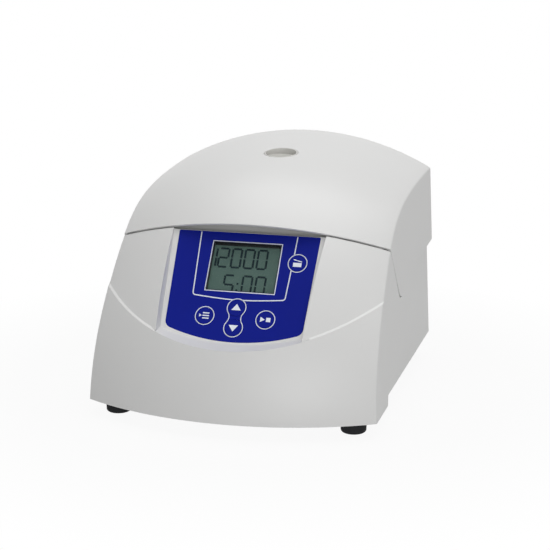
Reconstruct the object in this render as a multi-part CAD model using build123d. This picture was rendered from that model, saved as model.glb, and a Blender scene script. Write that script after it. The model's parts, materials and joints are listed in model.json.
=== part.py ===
from build123d import *
import math
import os

# Microcentrifuge. Millimetres, +Z up, +Y to the rear, operator on the -Y side.
# Origin on the table under the middle of the instrument.
# Sizes ending in _Y run back from the front corners, those ending in _Z run up
# from the apron edge, and those ending in _S run up the face of the panel.

# Fits
CLEAR = 0.3
RUN = 0.08

# Outer form
WIDTH = 281.0
BULGE = 38.1
FOOT_HEIGHT = 13.8
SIDE_DRAFT = 0.045
LID_FLARE = 0.0148
LID_OVERHANG = 15.0
WALL = 3.0
EDGE_ROUND = 3.0

# Side profile of the crowned front: depth and height of its knots
PROFILE_START_Y = -0.6
PROFILE_FOOT_Y = 16.4
PROFILE_FOOT_Z = 55.7
PROFILE_KNEE_Y = 52.9
PROFILE_KNEE_Z = 106.5
PROFILE_SHOULDER_Y = 102.7
PROFILE_SHOULDER_Z = 150.5
PROFILE_ROOF_Y = 172.0
PROFILE_ROOF_Z = 174.5
PROFILE_REAR_Z = 183.2

# Parting line between housing and lid, seen from the side
SEAM_NOSE_Y = 60.3
SEAM_NOSE_Z = 166.2
SEAM_FALL = 0.822
SEAM_CORNER_Y = 87.0
SEAM_TIP_Y = 127.5
SEAM_TIP_Z = 85.0
SEAM_RISE_Y = 170.0
SEAM_RISE_Z = 101.0
SEAM_REAR_Z = 109.5
SEAM_CORNER_ROUND = 6.0
SEAM_TIP_ROUND = 12.0
SEAM_RISE_ROUND = 80.0
SEAM_GAP_Y = 0.9
SEAM_GAP_Z = 1.25

# Apron that hangs lower than the sides at the front
APRON_LENGTH = 53.0
APRON_STEP = 9.9

# Smile-shaped shelf across the front
SMILE_RADIUS = 268.0
SMILE_LOW_Z = 64.9
SMILE_INSET = 1.4

# Sunk control panel and its printed foil
PANEL_TILT = 36.66
PANEL_Y = 51.2
PANEL_Z = 130.0
PANEL_TOP_S = 34.5
PANEL_TOP_HALF = 75.8
PANEL_LOW_S = -73.0
PANEL_LOW_HALF = 70.6
FOIL_THICK = 0.6
FOIL_TOP_S = 32.0
FOIL_TOP_HALF = 70.2
FOIL_LOW_S = -67.0
FOIL_LOW_HALF = 67.0
FOIL_SAG = 12.6
FOIL_CORNER = 8.0
FOIL_TOP_CORNER = 1.5

# Display
WINDOW_HALF = 33.6
WINDOW_TOP_S = 21.8
WINDOW_LOW_S = -28.4
GLASS_THICK = 1.0
GLASS_LAP = 2.5
TRAY_RIM = 1.5

# Control board
BOARD_THICK = 1.6
BOARD_GAP = 8.0
BOARD_TOP_S = 30.0
BOARD_MARGIN = 6.0
BOARD_POST_RADIUS = 3.0
BOARD_POST_TOP_S = 26.0
BOARD_POST_LOW_S = -34.0
BOARD_SCREW_RADIUS = 1.5
BOARD_SCREW_HEAD = 2.6
BOARD_SCREW_HEIGHT = 1.8

# Keys and their switches
KEY_RADIUS = 8.4
KEY_PROUD = 0.4
KEY_FLANGE = 1.2
KEY_FLANGE_THICK = 1.0
KEY_TRAVEL = 0.5
KEY_SIDE_X = 29.6
KEY_SIDE_S = -54.8
KEY_UP_S = -44.8
KEY_DOWN_S = -65.0
KEY_LID_X = 51.5
KEY_LID_S = 4.1
SWITCH_SIDE = 6.0
SWITCH_BODY = 3.4
PLUNGER_RADIUS = 1.7

# Rotor chamber
DECK_Z = 140.0
DECK_INSET = 9.5
DECK_THICK = 3.0
DECK_SKIRT = 7.0
FINGER_ROOM = 8.2
LATCH_ROOM = 24.0
SILL_HEIGHT = 24.0
BOWL_RADIUS = 80.0
BOWL_THICK = 1.0
BOWL_DEPTH = 74.0
BOWL_CORNER = 12.0
BOWL_RIM = 8.0
BOWL_MARGIN = 1.0
NECK_BORE = 16.0
NECK_HEIGHT = 8.0
GAITER_THICK = 2.0
GAITER_FOOT = 3.0

# Rotor
ROTOR_GAP = 6.0
ROTOR_LIFT = 12.0
ROTOR_DROP = 13.0
ROTOR_RIM_FLAT = 6.0
ROTOR_SHOULDER = 13.0
ROTOR_SHOULDER_DROP = 18.0
ROTOR_CHAMFER = 8.0
ROTOR_HOLLOW = 4.0
BORE_COUNT = 12
BORE_RADIUS = 5.6
BORE_ANGLE = 45.0
BORE_SHARE = 0.57
BORE_WALL = 10.0
HUB_LAND = 11.0
NUT_RADIUS = 13.0
NUT_HEIGHT = 15.0
NUT_ROOF = 4.0
NUT_CHAMFER = 1.5
FLUTE_COUNT = 12
FLUTE_RADIUS = 1.8
SHAFT_RADIUS = 5.0
THREAD_RADIUS = 3.5
THREAD_START = 4.0
TAPER = 4.0

# Drive
MOTOR_RADIUS = 42.0
MOTOR_HEIGHT = 36.0
MOTOR_WALL = 2.0
MOTOR_PLATE_RADIUS = 66.0
MOTOR_PLATE_THICK = 2.5
MOTOR_PLATE_BORE = 9.0
DAMPER_RADIUS = 9.0
DAMPER_WAIST = 2.0
DAMPER_COLLAR = 3.0
DAMPER_HEIGHT = 14.0
DAMPER_CIRCLE = 55.0
BEARING_RADIUS = 11.0
BEARING_HEIGHT = 7.0
BEARING_WALL = 3.0
CORE_RADIUS = 20.0
CORE_MARGIN = 2.0
STATOR_GAP = 0.6

# Lid
SEAL_HEIGHT = 4.0
SEAL_WIDTH = 5.0
SEAL_CHAMFER = 1.0
LINER_THICK = 3.0
LINER_ROOM = 6.0
LINER_LIP = 2.5
SIGHT_RADIUS = 17.4
SIGHT_WALL = 1.6
SIGHT_LEDGE = 1.4
PANE_RISE = 61.0
PANE_THICK = 3.0

# Hinge
HINGE_INSET = 9.0
HINGE_RISE = 6.5
HINGE_MARGIN = 45.5
KNUCKLE_RADIUS = 5.5
PIN_RADIUS = 3.0
PIN_END = 0.5
KNUCKLE_LENGTH = 12.0
KNUCKLE_END = 7.0
LEAF_THICK = 2.5
LEAF_RISE = 12.0
WEB_HALF = 3.5
HINGE_SCREW_PITCH = 8.0
HINGE_SCREW_RISE = 18.0
LID_SCREW_HEAD = 2.2
LID_SCREW_HEIGHT = 1.5

# Latch
STRIKER_ROOM = 3.0
STRIKER_THICK = 1.5
STRIKER_HALF = 9.0
STRIKER_LENGTH = 24.0
STRIKER_FOOT = 7.5
STRIKER_SILL = 3.5
STRIKER_WINDOW_HALF = 5.0
STRIKER_WINDOW_HEIGHT = 11.5
SLOT_HALF = 12.0
SLOT_AHEAD = 2.5
SLOT_BEHIND = 4.5
HOOK_SETBACK = 10.0
HOOK_DROP = 21.0
HOOK_REACH = 14.1
HOOK_WIDTH = 4.0
HOOK_HUB = 4.0
HOOK_REST = 80.0
HOOK_SHAFT = 1.5
HOOK_SHAFT_SEAT = 5.0
LATCH_MOTOR_X = 5.0
LATCH_MOTOR_RADIUS = 7.0
LATCH_MOTOR_LENGTH = 30.0
BRACKET_THICK = 1.5
BRACKET_SHELF = 22.0

# Base and feet
PAN_Z = 8.0
PAN_THICK = 1.5
PAN_GAP = 1.0
PAN_VENT_COUNT = 5
PAN_VENT_Y = 70.0
PAN_VENT_PITCH = 12.0
PAN_VENT_WIDTH = 4.0
PAN_VENT_HALF = 17.0
PAN_VENT_X = 55.0
FOOT_RADIUS = 12.5
FOOT_TIP_RADIUS = 12.0
FOOT_CHAMFER = 1.5
FOOT_MARGIN = 24.7
FOOT_FRONT_Y = 14.0
FOOT_SETBACK = 32.0
FOOT_SEAT = 5.0
BOSS_RADIUS = 6.0
BOSS_HEIGHT = 30.5
BOSS_RIB = 3.0
BOSS_LAP = 0.5
SCREW_RADIUS = 2.0
SCREW_HEAD = 4.0
SCREW_HEAD_HEIGHT = 2.5
SCREW_GRIP = 10.0

# Rear panel, inlet and mains switch
REAR_THICK = 1.5
REAR_ROOM = 6.0
REAR_DROP = 6.0
VENT_WIDTH = 3.0
VENT_HEIGHT = 24.0
VENT_PITCH = 9.0
VENT_COUNT = 9
VENT_MARGIN = 48.5
VENT_LOW_Z = 30.0
VENT_HIGH_Z = 62.0
FLANGE_THICK = 2.0
INLET_MARGIN = 52.5
INLET_Z = 48.0
INLET_HALF = 13.8
INLET_TALL = 10.3
INLET_DEPTH = 20.0
INLET_WALL = 1.6
INLET_CUT = 4.5
INLET_LAP = 2.7
SOCKET_DEPTH = 17.0
PIN_LENGTH = 11.0
PIN_ROOT = 4.0
PIN_HALF = 1.0
PIN_TALL = 2.0
PIN_PITCH = 7.0
SWITCH_MARGIN = 92.5
SWITCH_HALF_X = 6.8
SWITCH_HALF_Z = 13.6
SWITCH_DEPTH = 18.0
SWITCH_LAP = 1.4
ROCKER_SINK = 3.0
ROCKER_RADIUS = 11.0
ROCKER_GAP = 0.8
ROCKER_WIDTH = 9.0
ROCKER_RISE = 6.0
ROCKER_VALLEY = 2.2
ROCKER_BACK = 4.0
PIVOT_RADIUS = 1.2
PIVOT_STUB = 1.0

# Supply board
SUPPLY_LIFT = 6.0
SUPPLY_FRONT_Y = 34.0
SUPPLY_GAP = 13.0
SUPPLY_MARGIN = 45.5
SUPPLY_POST = 3.0
SUPPLY_EDGE = 5.0
SINK_X = 60.0
SINK_HALF = 14.0
SINK_HEIGHT = 24.0
SINK_BASE = 3.0
FIN_COUNT = 5
FIN_PITCH = 6.0
FIN_THICK = 1.6
CAPACITOR_COUNT = 3
CAPACITOR_PITCH = 24.0
CAPACITOR_RADIUS = 9.0
CAPACITOR_HEIGHT = 26.0
FILTER_X = -65.0
FILTER_HALF = 17.0
FILTER_HEIGHT = 20.0

# The chamber follows the panel, and the case closes round the chamber
HALF = WIDTH / 2
CROWN_RADIUS = (HALF**2 + BULGE**2) / (2 * BULGE)
TILT = math.radians(PANEL_TILT)
DECK_FRONT_Y = PANEL_Y + PANEL_TOP_S * math.sin(TILT) + FINGER_ROOM
AXIS_Y = DECK_FRONT_Y + DECK_THICK + LATCH_ROOM + BOWL_RADIUS
BOWL_FLANGE = BOWL_RADIUS + BOWL_RIM
DECK_REAR_Y = AXIS_Y + BOWL_FLANGE + BOWL_MARGIN
BODY_REAR_Y = DECK_REAR_Y + REAR_ROOM
LID_REAR_Y = BODY_REAR_Y + LID_OVERHANG
DEPTH = BULGE + LID_REAR_Y
FRONT = -DEPTH / 2 + BULGE
INNER_SKIN = WALL + SMILE_INSET

# Heights that follow the deck and the parting line
DECK_LOW_Z = SEAM_TIP_Z - DECK_SKIRT
BOWL_FLOOR_Z = DECK_Z - BOWL_DEPTH
LINER_Z = DECK_Z + SEAL_HEIGHT
LINER_FRONT_Y = DECK_FRONT_Y + LINER_ROOM
REAR_TOP_Z = SEAM_REAR_Z - REAR_DROP
HINGE_Y = LID_REAR_Y - HINGE_INSET
HINGE_Z = SEAM_REAR_Z + HINGE_RISE
HINGE_X = HALF - HINGE_MARGIN
PANE_Z = LINER_Z + LINER_THICK + PANE_RISE

# Rotor and drive train, stacked on the pan
PAN_TOP_Z = PAN_Z + PAN_THICK
MOTOR_PLATE_Z = PAN_TOP_Z + DAMPER_HEIGHT
MOTOR_BASE_Z = MOTOR_PLATE_Z + MOTOR_PLATE_THICK
MOTOR_TOP_Z = MOTOR_BASE_Z + MOTOR_HEIGHT
CORE_LOW_Z = MOTOR_BASE_Z + BEARING_HEIGHT + CORE_MARGIN
CORE_HIGH_Z = MOTOR_TOP_Z - BEARING_HEIGHT - CORE_MARGIN
ROTOR_RADIUS = BOWL_RADIUS - BOWL_THICK - ROTOR_GAP
ROTOR_RIM_RADIUS = ROTOR_RADIUS - ROTOR_SHOULDER
ROTOR_HUB_RADIUS = NUT_RADIUS + HUB_LAND
ROTOR_DISH = ROTOR_RIM_RADIUS - ROTOR_RIM_FLAT - ROTOR_HUB_RADIUS
BORE_LEAN = math.radians(BORE_ANGLE)
BORE_SETBACK = ROTOR_DISH * BORE_SHARE
BORE_ROOM = ROTOR_RADIUS - BORE_WALL - ROTOR_HUB_RADIUS - BORE_SETBACK
BORE_DEPTH = BORE_ROOM / math.sin(BORE_LEAN)
ROTOR_FLOOR_Z = BOWL_FLOOR_Z + ROTOR_LIFT
ROTOR_RIM_Z = DECK_Z - ROTOR_DROP
ROTOR_HUB_Z = ROTOR_RIM_Z - ROTOR_DISH * math.tan(BORE_LEAN)
THREAD_Z = ROTOR_HUB_Z - THREAD_START

# Latch, measured from the striker
STRIKER_Y = LINER_FRONT_Y + STRIKER_ROOM
STRIKER_LOW_Z = LINER_Z - STRIKER_LENGTH
HOOK_Y = STRIKER_Y + HOOK_SETBACK
HOOK_Z = DECK_Z - HOOK_DROP

# Panel stack, measured behind the panel's face
KEY_BACK = WALL + CLEAR + KEY_FLANGE_THICK
BOARD_FRONT = WALL + BOARD_GAP
BOARD_BACK = BOARD_FRONT + BOARD_THICK
BOARD_HALF = PANEL_LOW_HALF - BOARD_MARGIN
PLUNGER_TOP = KEY_BACK + KEY_TRAVEL + CLEAR

# Places across the back and underneath
INLET_X = INLET_MARGIN - HALF
ROCKER_X = SWITCH_MARGIN - HALF
ROCKER_Y = BODY_REAR_Y - ROCKER_SINK
VENT_X = HALF - VENT_MARGIN
FOOT_X = HALF - FOOT_MARGIN
FOOT_REAR_Y = BODY_REAR_Y - FOOT_SETBACK
SUPPLY_HALF = HALF - SUPPLY_MARGIN
SUPPLY_REAR_Y = AXIS_Y - MOTOR_PLATE_RADIUS - SUPPLY_GAP

KEYS = {
    "key_select": (-KEY_SIDE_X, KEY_SIDE_S),
    "key_up": (0.0, KEY_UP_S),
    "key_down": (0.0, KEY_DOWN_S),
    "key_start_stop": (KEY_SIDE_X, KEY_SIDE_S),
    "key_lid": (KEY_LID_X, KEY_LID_S),
}
FEET = {
    "foot_front_left": (-FOOT_X, FOOT_FRONT_Y),
    "foot_front_right": (FOOT_X, FOOT_FRONT_Y),
    "foot_rear_left": (-FOOT_X, FOOT_REAR_Y),
    "foot_rear_right": (FOOT_X, FOOT_REAR_Y),
}
POST_X = BOARD_HALF - BOARD_MARGIN
BOARD_POSTS = [(x, s) for x in (-POST_X, POST_X) for s in (BOARD_POST_TOP_S, BOARD_POST_LOW_S)]


def at(y, z, x=0.0):
    """A point y behind the front corners and z above the apron edge."""
    return Vector(x, FRONT + y, FOOT_HEIGHT + z)


def side_prism(points, half):
    """Extrude a side-view outline across the width."""
    outline = Polyline(*[at(y, z) for y, z in points], close=True)
    return extrude(make_face(outline), amount=half, both=True)


def block(y1, y2, z1, z2, half, x=0.0):
    """A box between two depths and two heights, centred on x."""
    box = Box(2 * half, y2 - y1, z2 - z1)
    return Pos(at((y1 + y2) / 2, (z1 + z2) / 2, x)) * box


def post(x, y, z1, z2, radius):
    """An upright round post between two heights."""
    return Pos(at(y, (z1 + z2) / 2, x)) * Cylinder(radius, z2 - z1)


def bar(y, z, x1, x2, radius):
    """A round bar along X between two places."""
    return Pos(at(y, z, (x1 + x2) / 2)) * Rot(0, 90, 0) * Cylinder(radius, x2 - x1)


def spin(points, x=0.0, y=AXIS_Y):
    """Revolve an outline of radius and height about an upright axis."""
    outline = Polyline(*[at(y, z, x + r) for r, z in points], close=True)
    return revolve(make_face(outline), axis=Axis(at(y, 0, x), (0, 0, 1)))


def around(shape, count):
    """Copies of a shape spaced evenly round the rotor axis."""
    axis = Axis(at(AXIS_Y, 0), (0, 0, 1))
    return [shape.rotate(axis, 360 * turn / count) for turn in range(count)]


# The crowned form that housing, lid and everything fitted inside them share

FORM_LOW_Z = -20.0
FORM_HIGH_Z = 260.0
FORM_FRONT_Y = -60.0
FORM_REACH = 8.0
CROWN_ROWS = 24
CROWN_COLUMNS = 12


def crown(inset):
    """The crowned skin: an arc across the width carried up the side profile."""
    knots = [
        at(PROFILE_START_Y, FORM_LOW_Z - FORM_REACH),
        at(0, 0),
        at(PROFILE_FOOT_Y, PROFILE_FOOT_Z),
        at(PROFILE_KNEE_Y, PROFILE_KNEE_Z),
        at(PROFILE_SHOULDER_Y, PROFILE_SHOULDER_Z),
        at(PROFILE_ROOF_Y, PROFILE_ROOF_Z),
        at(LID_REAR_Y, PROFILE_REAR_Z),
        at(LID_REAR_Y + 3 * FORM_REACH, PROFILE_REAR_Z + 0.2),
    ]
    path = Spline(*knots, tangents=[(0, 0.02, 1), (0, 1, 0.005)])
    reach = HALF + FORM_REACH
    rows = []
    for step in range(CROWN_ROWS + 1):
        spot = path @ (step / CROWN_ROWS)
        way = path % (step / CROWN_ROWS)
        row = []
        for column in range(CROWN_COLUMNS + 1):
            x = reach * (2 * column / CROWN_COLUMNS - 1)
            rise = math.sqrt((CROWN_RADIUS - inset) ** 2 - x**2) - (CROWN_RADIUS - BULGE)
            row.append(Vector(x, spot.Y - rise * way.Z, spot.Z + rise * way.Y))
        rows.append(row)
    return Face.make_surface_from_array_of_points(rows, tol=0.02)


def drafted_block(inset, flare):
    """The block between the two leaning side walls."""

    def section(y):
        spread = flare * (y - SEAM_CORNER_Y) - inset
        wide = HALF - SIDE_DRAFT * FORM_LOW_Z + spread
        narrow = HALF - SIDE_DRAFT * FORM_HIGH_Z + spread
        corners = [
            at(y, FORM_LOW_Z, -wide), at(y, FORM_LOW_Z, wide),
            at(y, FORM_HIGH_Z, narrow), at(y, FORM_HIGH_Z, -narrow),
        ]
        return make_face(Polyline(*corners, close=True))

    return loft([section(FORM_FRONT_Y), section(LID_REAR_Y + FORM_REACH)], ruled=True)


def form(skin=0.0, side=0.0, flare=0.0):
    """The outer form, drawn in from the crown by skin and from the sides by side."""
    pieces = split(drafted_block(side, flare), bisect_by=crown(skin), keep=Keep.BOTH)
    return max(pieces.solids(), key=lambda piece: piece.volume)


def rounded_form(skin=0.0, flare=0.0):
    """The outer form with its two long front corners rounded."""
    body = form(skin, 0.0, flare)
    rims = body.edges().filter_by(GeomType.BSPLINE)
    corners = [rim for rim in rims if abs((rim @ 0.5).X) > HALF / 2]
    return body.fillet(EDGE_ROUND, corners)


def seam_z(y):
    """Height of the straight front stretch of the parting line."""
    return SEAM_NOSE_Z - SEAM_FALL * (y - SEAM_NOSE_Y)


def seam_zone(gap_y=0.0, gap_z=0.0):
    """Everything above the parting line, or above the housing's edge with its gap."""
    start_y = SEAM_NOSE_Y + FORM_FRONT_Y
    end_y = LID_REAR_Y + 2 * FORM_REACH
    corners = [
        at(start_y, seam_z(start_y)),
        at(SEAM_CORNER_Y, seam_z(SEAM_CORNER_Y)),
        at(SEAM_TIP_Y, SEAM_TIP_Z),
        at(SEAM_RISE_Y, SEAM_RISE_Z),
        at(end_y, SEAM_REAR_Z),
    ]
    rounds = [SEAM_CORNER_ROUND, SEAM_TIP_ROUND, SEAM_RISE_ROUND]
    line = FilletPolyline(*corners, radius=rounds)
    back = Polyline(corners[-1], at(end_y, FORM_HIGH_Z), at(start_y, FORM_HIGH_Z), corners[0])
    zone = extrude(make_face(line + back), amount=HALF + FORM_REACH, both=True)
    return Pos(0, -gap_y, -gap_z) * zone


def above_smile(drop=0.0):
    """Everything above the smile line, as seen from the front."""
    centre_z = SMILE_LOW_Z + SMILE_RADIUS
    reach = HALF + FORM_REACH
    radius = SMILE_RADIUS + drop
    end_z = centre_z - math.sqrt(radius**2 - reach**2)
    left, right = at(FORM_FRONT_Y, end_z, -reach), at(FORM_FRONT_Y, end_z, reach)
    arc = ThreePointArc(left, at(FORM_FRONT_Y, centre_z - radius), right)
    top_left, top_right = at(FORM_FRONT_Y, FORM_HIGH_Z, -reach), at(FORM_FRONT_Y, FORM_HIGH_Z, reach)
    rest = Polyline(right, top_right, top_left, left)
    return extrude(make_face(arc + rest), amount=DEPTH + FORM_REACH, dir=(0, 1, 0))


# The panel, whose pieces are placed by x, by s up its face and by depth behind it

PANEL = Plane(
    origin=at(PANEL_Y, PANEL_Z),
    x_dir=(1, 0, 0),
    z_dir=(0, -math.cos(TILT), math.sin(TILT)),
)


def panel_disc(x, s, radius, front, back):
    """A disc standing between two depths behind the panel face."""
    return PANEL * Pos(x, s, -(front + back) / 2) * Cylinder(radius, back - front)


def panel_box(x, s, half_x, half_s, front, back):
    """A box standing between two depths behind the panel face."""
    return PANEL * Pos(x, s, -(front + back) / 2) * Box(2 * half_x, 2 * half_s, back - front)


def window_box(lap, front, back):
    """A box as large as the display window plus a lap all round."""
    middle = (WINDOW_TOP_S + WINDOW_LOW_S) / 2
    tall = (WINDOW_TOP_S - WINDOW_LOW_S) / 2
    return panel_box(0, middle, WINDOW_HALF + lap, tall + lap, front, back)


def panel_pocket(grow=0.0):
    """The tapered recess that holds the panel, grown by a wall."""
    slope = (PANEL_TOP_HALF - PANEL_LOW_HALF) / (PANEL_TOP_S - PANEL_LOW_S)
    reach = PANEL_TOP_S - PANEL_LOW_S
    wide = PANEL_TOP_HALF + reach * slope + grow
    narrow = PANEL_LOW_HALF - reach * slope + grow
    top, low = PANEL_TOP_S + reach, PANEL_LOW_S - reach
    outline = Polyline((-wide, top), (wide, top), (narrow, low), (-narrow, low), close=True)
    prism = extrude(PANEL * Pos(0, 0, -grow) * make_face(outline), amount=WIDTH / 2)
    return prism & above_smile(grow)


def foil_outline(shrink=0.0):
    """The foil's outline: straight sides, bowed foot, rounded corners."""
    top = FOIL_TOP_S - shrink
    wide = FOIL_TOP_HALF - shrink
    narrow = FOIL_LOW_HALF - shrink
    foot = FOIL_LOW_S - FOIL_SAG + shrink
    sides = Polyline((-narrow, FOIL_LOW_S), (-wide, top), (wide, top), (narrow, FOIL_LOW_S))
    bow = ThreePointArc((narrow, FOIL_LOW_S), (0, foot), (-narrow, FOIL_LOW_S))
    face = make_face(sides + bow)
    face = fillet(face.vertices().sort_by(Axis.Y)[-2:], FOIL_TOP_CORNER)
    lows = face.vertices().filter_by_position(Axis.Y, FOIL_LOW_S - 1, FOIL_LOW_S + 1)
    return fillet(lows, FOIL_CORNER)


def key_holes(back):
    """The round holes that the keys move in."""
    return [panel_disc(x, s, KEY_RADIUS + CLEAR, -KEY_PROUD - 1, back) for x, s in KEYS.values()]


# Housing

def foot_bosses():
    """Screw towers over the feet, each with a rib to its side wall."""
    towers = []
    top = PAN_TOP_Z + BOSS_HEIGHT
    for x, y in FEET.values():
        wall = math.copysign(HALF, x)
        rib = block(y - BOSS_RIB / 2, y + BOSS_RIB / 2, PAN_TOP_Z, top, (HALF - abs(x)) / 2, (wall + x) / 2)
        towers.append(post(x, y, PAN_TOP_Z, top, BOSS_RADIUS) + rib)
    inside = form(INNER_SKIN - BOSS_LAP, WALL - BOSS_LAP)
    return [tower & inside for tower in towers]


def housing_shell():
    """Moulded front and sides with the sunk panel and the smile shelf."""
    smile = above_smile()
    shell = (rounded_form(SMILE_INSET) & smile) + (rounded_form() - smile)
    far = FORM_FRONT_Y - FORM_REACH
    sides = side_prism(
        [
            (far, 0), (APRON_LENGTH, 0), (APRON_LENGTH + WALL, APRON_STEP),
            (BODY_REAR_Y, APRON_STEP), (BODY_REAR_Y, FORM_HIGH_Z), (far, FORM_HIGH_Z),
        ],
        HALF + FORM_REACH,
    )
    hollow = form(INNER_SKIN, WALL) - panel_pocket(WALL)
    shell = (shell & sides) - panel_pocket() - hollow - seam_zone(SEAM_GAP_Y, SEAM_GAP_Z)
    shell = max(shell.solids(), key=lambda piece: piece.volume)
    shell -= extrude(PANEL * foil_outline(), amount=-FOIL_THICK)
    shell -= key_holes(WALL + 1)
    shell -= window_box(0, -1, WALL + 1)
    for x, s in BOARD_POSTS:
        shell += panel_disc(x, s, BOARD_POST_RADIUS, WALL - BOSS_LAP, BOARD_FRONT)
    for tower in foot_bosses():
        shell += tower
    for x, y in FEET.values():
        shell -= post(x, y, PAN_TOP_Z - 1, PAN_TOP_Z + SCREW_GRIP + 1, SCREW_RADIUS)
    return shell


def panel_overlay():
    """Printed foil seated in its shallow recess."""
    foil = extrude(PANEL * foil_outline(CLEAR / 2), amount=-FOIL_THICK)
    return foil - key_holes(WALL) - window_box(0, -1, WALL)


def lcd_glass():
    """Display glass against the back of the panel wall."""
    return window_box(GLASS_LAP, WALL, WALL + GLASS_THICK)


def lcd_module():
    """Tray behind the glass, standing on the board."""
    tray = window_box(GLASS_LAP + TRAY_RIM, WALL, BOARD_FRONT)
    return tray - window_box(GLASS_LAP, WALL - 1, WALL + GLASS_THICK)


def control_board():
    """Circuit board parallel to the panel."""
    low = KEY_DOWN_S - SWITCH_SIDE
    middle, tall = (BOARD_TOP_S + low) / 2, (BOARD_TOP_S - low) / 2
    board = panel_box(0, middle, BOARD_HALF, tall, BOARD_FRONT, BOARD_BACK)
    for x, s in BOARD_POSTS:
        board -= panel_disc(x, s, BOARD_SCREW_RADIUS, BOARD_FRONT - 1, BOARD_BACK + 1)
    return board


def board_screws():
    """Screw heads that hold the board on its posts."""
    back = BOARD_BACK + BOARD_SCREW_HEIGHT
    return Compound(children=[panel_disc(x, s, BOARD_SCREW_HEAD, BOARD_BACK, back) for x, s in BOARD_POSTS])


def key_switches():
    """One push switch on the board behind each key."""
    half = SWITCH_SIDE / 2
    face = BOARD_FRONT - SWITCH_BODY
    switches = []
    for x, s in KEYS.values():
        base = panel_box(x, s, half, half, face, BOARD_FRONT)
        switches.append(base + panel_disc(x, s, PLUNGER_RADIUS, PLUNGER_TOP, BOARD_FRONT - 1))
    return Compound(children=switches)


def key(x, s):
    """Round key cap with a keeper flange behind the panel wall."""
    cap = panel_disc(x, s, KEY_RADIUS, -KEY_PROUD, KEY_BACK)
    rims = cap.edges().filter_by(GeomType.CIRCLE)
    cap = chamfer(min(rims, key=lambda rim: rim.center().Y), KEY_PROUD / 2)
    return cap + panel_disc(x, s, KEY_RADIUS + KEY_FLANGE, WALL + CLEAR, KEY_BACK)


# Chamber

def rotor_deck():
    """Moulded tub under the lid that carries the bowl, the latch and the hinges."""
    sill_y = DECK_FRONT_Y + DECK_THICK
    sill_z = DECK_Z + SILL_HEIGHT
    outside = [
        (DECK_FRONT_Y, DECK_LOW_Z), (DECK_FRONT_Y, sill_z), (sill_y, sill_z),
        (sill_y, DECK_Z), (DECK_REAR_Y, DECK_Z), (DECK_REAR_Y, DECK_LOW_Z),
    ]
    under = DECK_Z - DECK_THICK
    rear = DECK_REAR_Y - DECK_THICK
    inside = [(sill_y, DECK_LOW_Z - 1), (sill_y, under), (rear, under), (rear, DECK_LOW_Z - 1)]
    inner_form = form(DECK_INSET + DECK_THICK, DECK_INSET + DECK_THICK)
    deck = form(DECK_INSET, DECK_INSET) & side_prism(outside, HALF)
    deck -= inner_form & side_prism(inside, HALF)
    band = block(DECK_FRONT_Y, DECK_REAR_Y, DECK_LOW_Z, DECK_LOW_Z + DECK_THICK, HALF)
    deck += (form(INNER_SKIN + CLEAR, WALL + CLEAR) - inner_form) & band
    deck -= post(0, AXIS_Y, under - 1, DECK_Z + 1, BOWL_RADIUS + CLEAR)
    deck -= post(0, AXIS_Y, DECK_Z - BOWL_THICK, DECK_Z + 1, BOWL_FLANGE + CLEAR)
    slot_front = STRIKER_Y - SLOT_AHEAD
    slot_rear = STRIKER_Y + STRIKER_THICK + SLOT_BEHIND
    return deck - block(slot_front, slot_rear, under - 1, DECK_Z + 1, SLOT_HALF)


def rotor_bowl():
    """Pressed steel chamber with a neck round the shaft and a flat rim."""
    floor = BOWL_FLOOR_Z
    inner = BOWL_RADIUS - BOWL_THICK
    neck_top = floor + NECK_HEIGHT
    rim_low = DECK_Z - BOWL_THICK
    outside = BOWL_CORNER
    inside = BOWL_CORNER - BOWL_THICK
    skin = Polyline(
        at(AXIS_Y, floor, BOWL_RADIUS - outside), at(AXIS_Y, floor, NECK_BORE),
        at(AXIS_Y, neck_top, NECK_BORE), at(AXIS_Y, neck_top, NECK_BORE + BOWL_THICK),
        at(AXIS_Y, floor + BOWL_THICK, NECK_BORE + BOWL_THICK),
        at(AXIS_Y, floor + BOWL_THICK, inner - inside),
    )
    rim = Polyline(
        at(AXIS_Y, floor + outside, inner), at(AXIS_Y, DECK_Z, inner), at(AXIS_Y, DECK_Z, BOWL_FLANGE),
        at(AXIS_Y, rim_low, BOWL_FLANGE), at(AXIS_Y, rim_low, BOWL_RADIUS),
        at(AXIS_Y, floor + outside, BOWL_RADIUS),
    )
    turn = math.sqrt(0.5)
    centre = (BOWL_RADIUS - outside, floor + outside)

    def bend(radius):
        return at(AXIS_Y, centre[1] - radius * turn, centre[0] + radius * turn)

    inner_bend = ThreePointArc(skin @ 1, bend(inside), rim @ 0)
    outer_bend = ThreePointArc(rim @ 1, bend(outside), skin @ 0)
    outline = make_face(skin + inner_bend + rim + outer_bend)
    return revolve(outline, axis=Axis(at(AXIS_Y, 0), (0, 0, 1)))


def shaft_gaiter():
    """Rubber sleeve that closes the bowl's neck round the motor."""
    top = BOWL_FLOOR_Z + NECK_HEIGHT
    foot = MOTOR_TOP_Z + GAITER_THICK
    outer = NECK_BORE - CLEAR
    inner = outer - GAITER_THICK
    return spin(
        [
            (inner, MOTOR_TOP_Z), (outer + GAITER_FOOT, MOTOR_TOP_Z), (outer + GAITER_FOOT, foot),
            (outer, foot), (outer, top), (inner, top),
        ]
    )


# Drive

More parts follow.
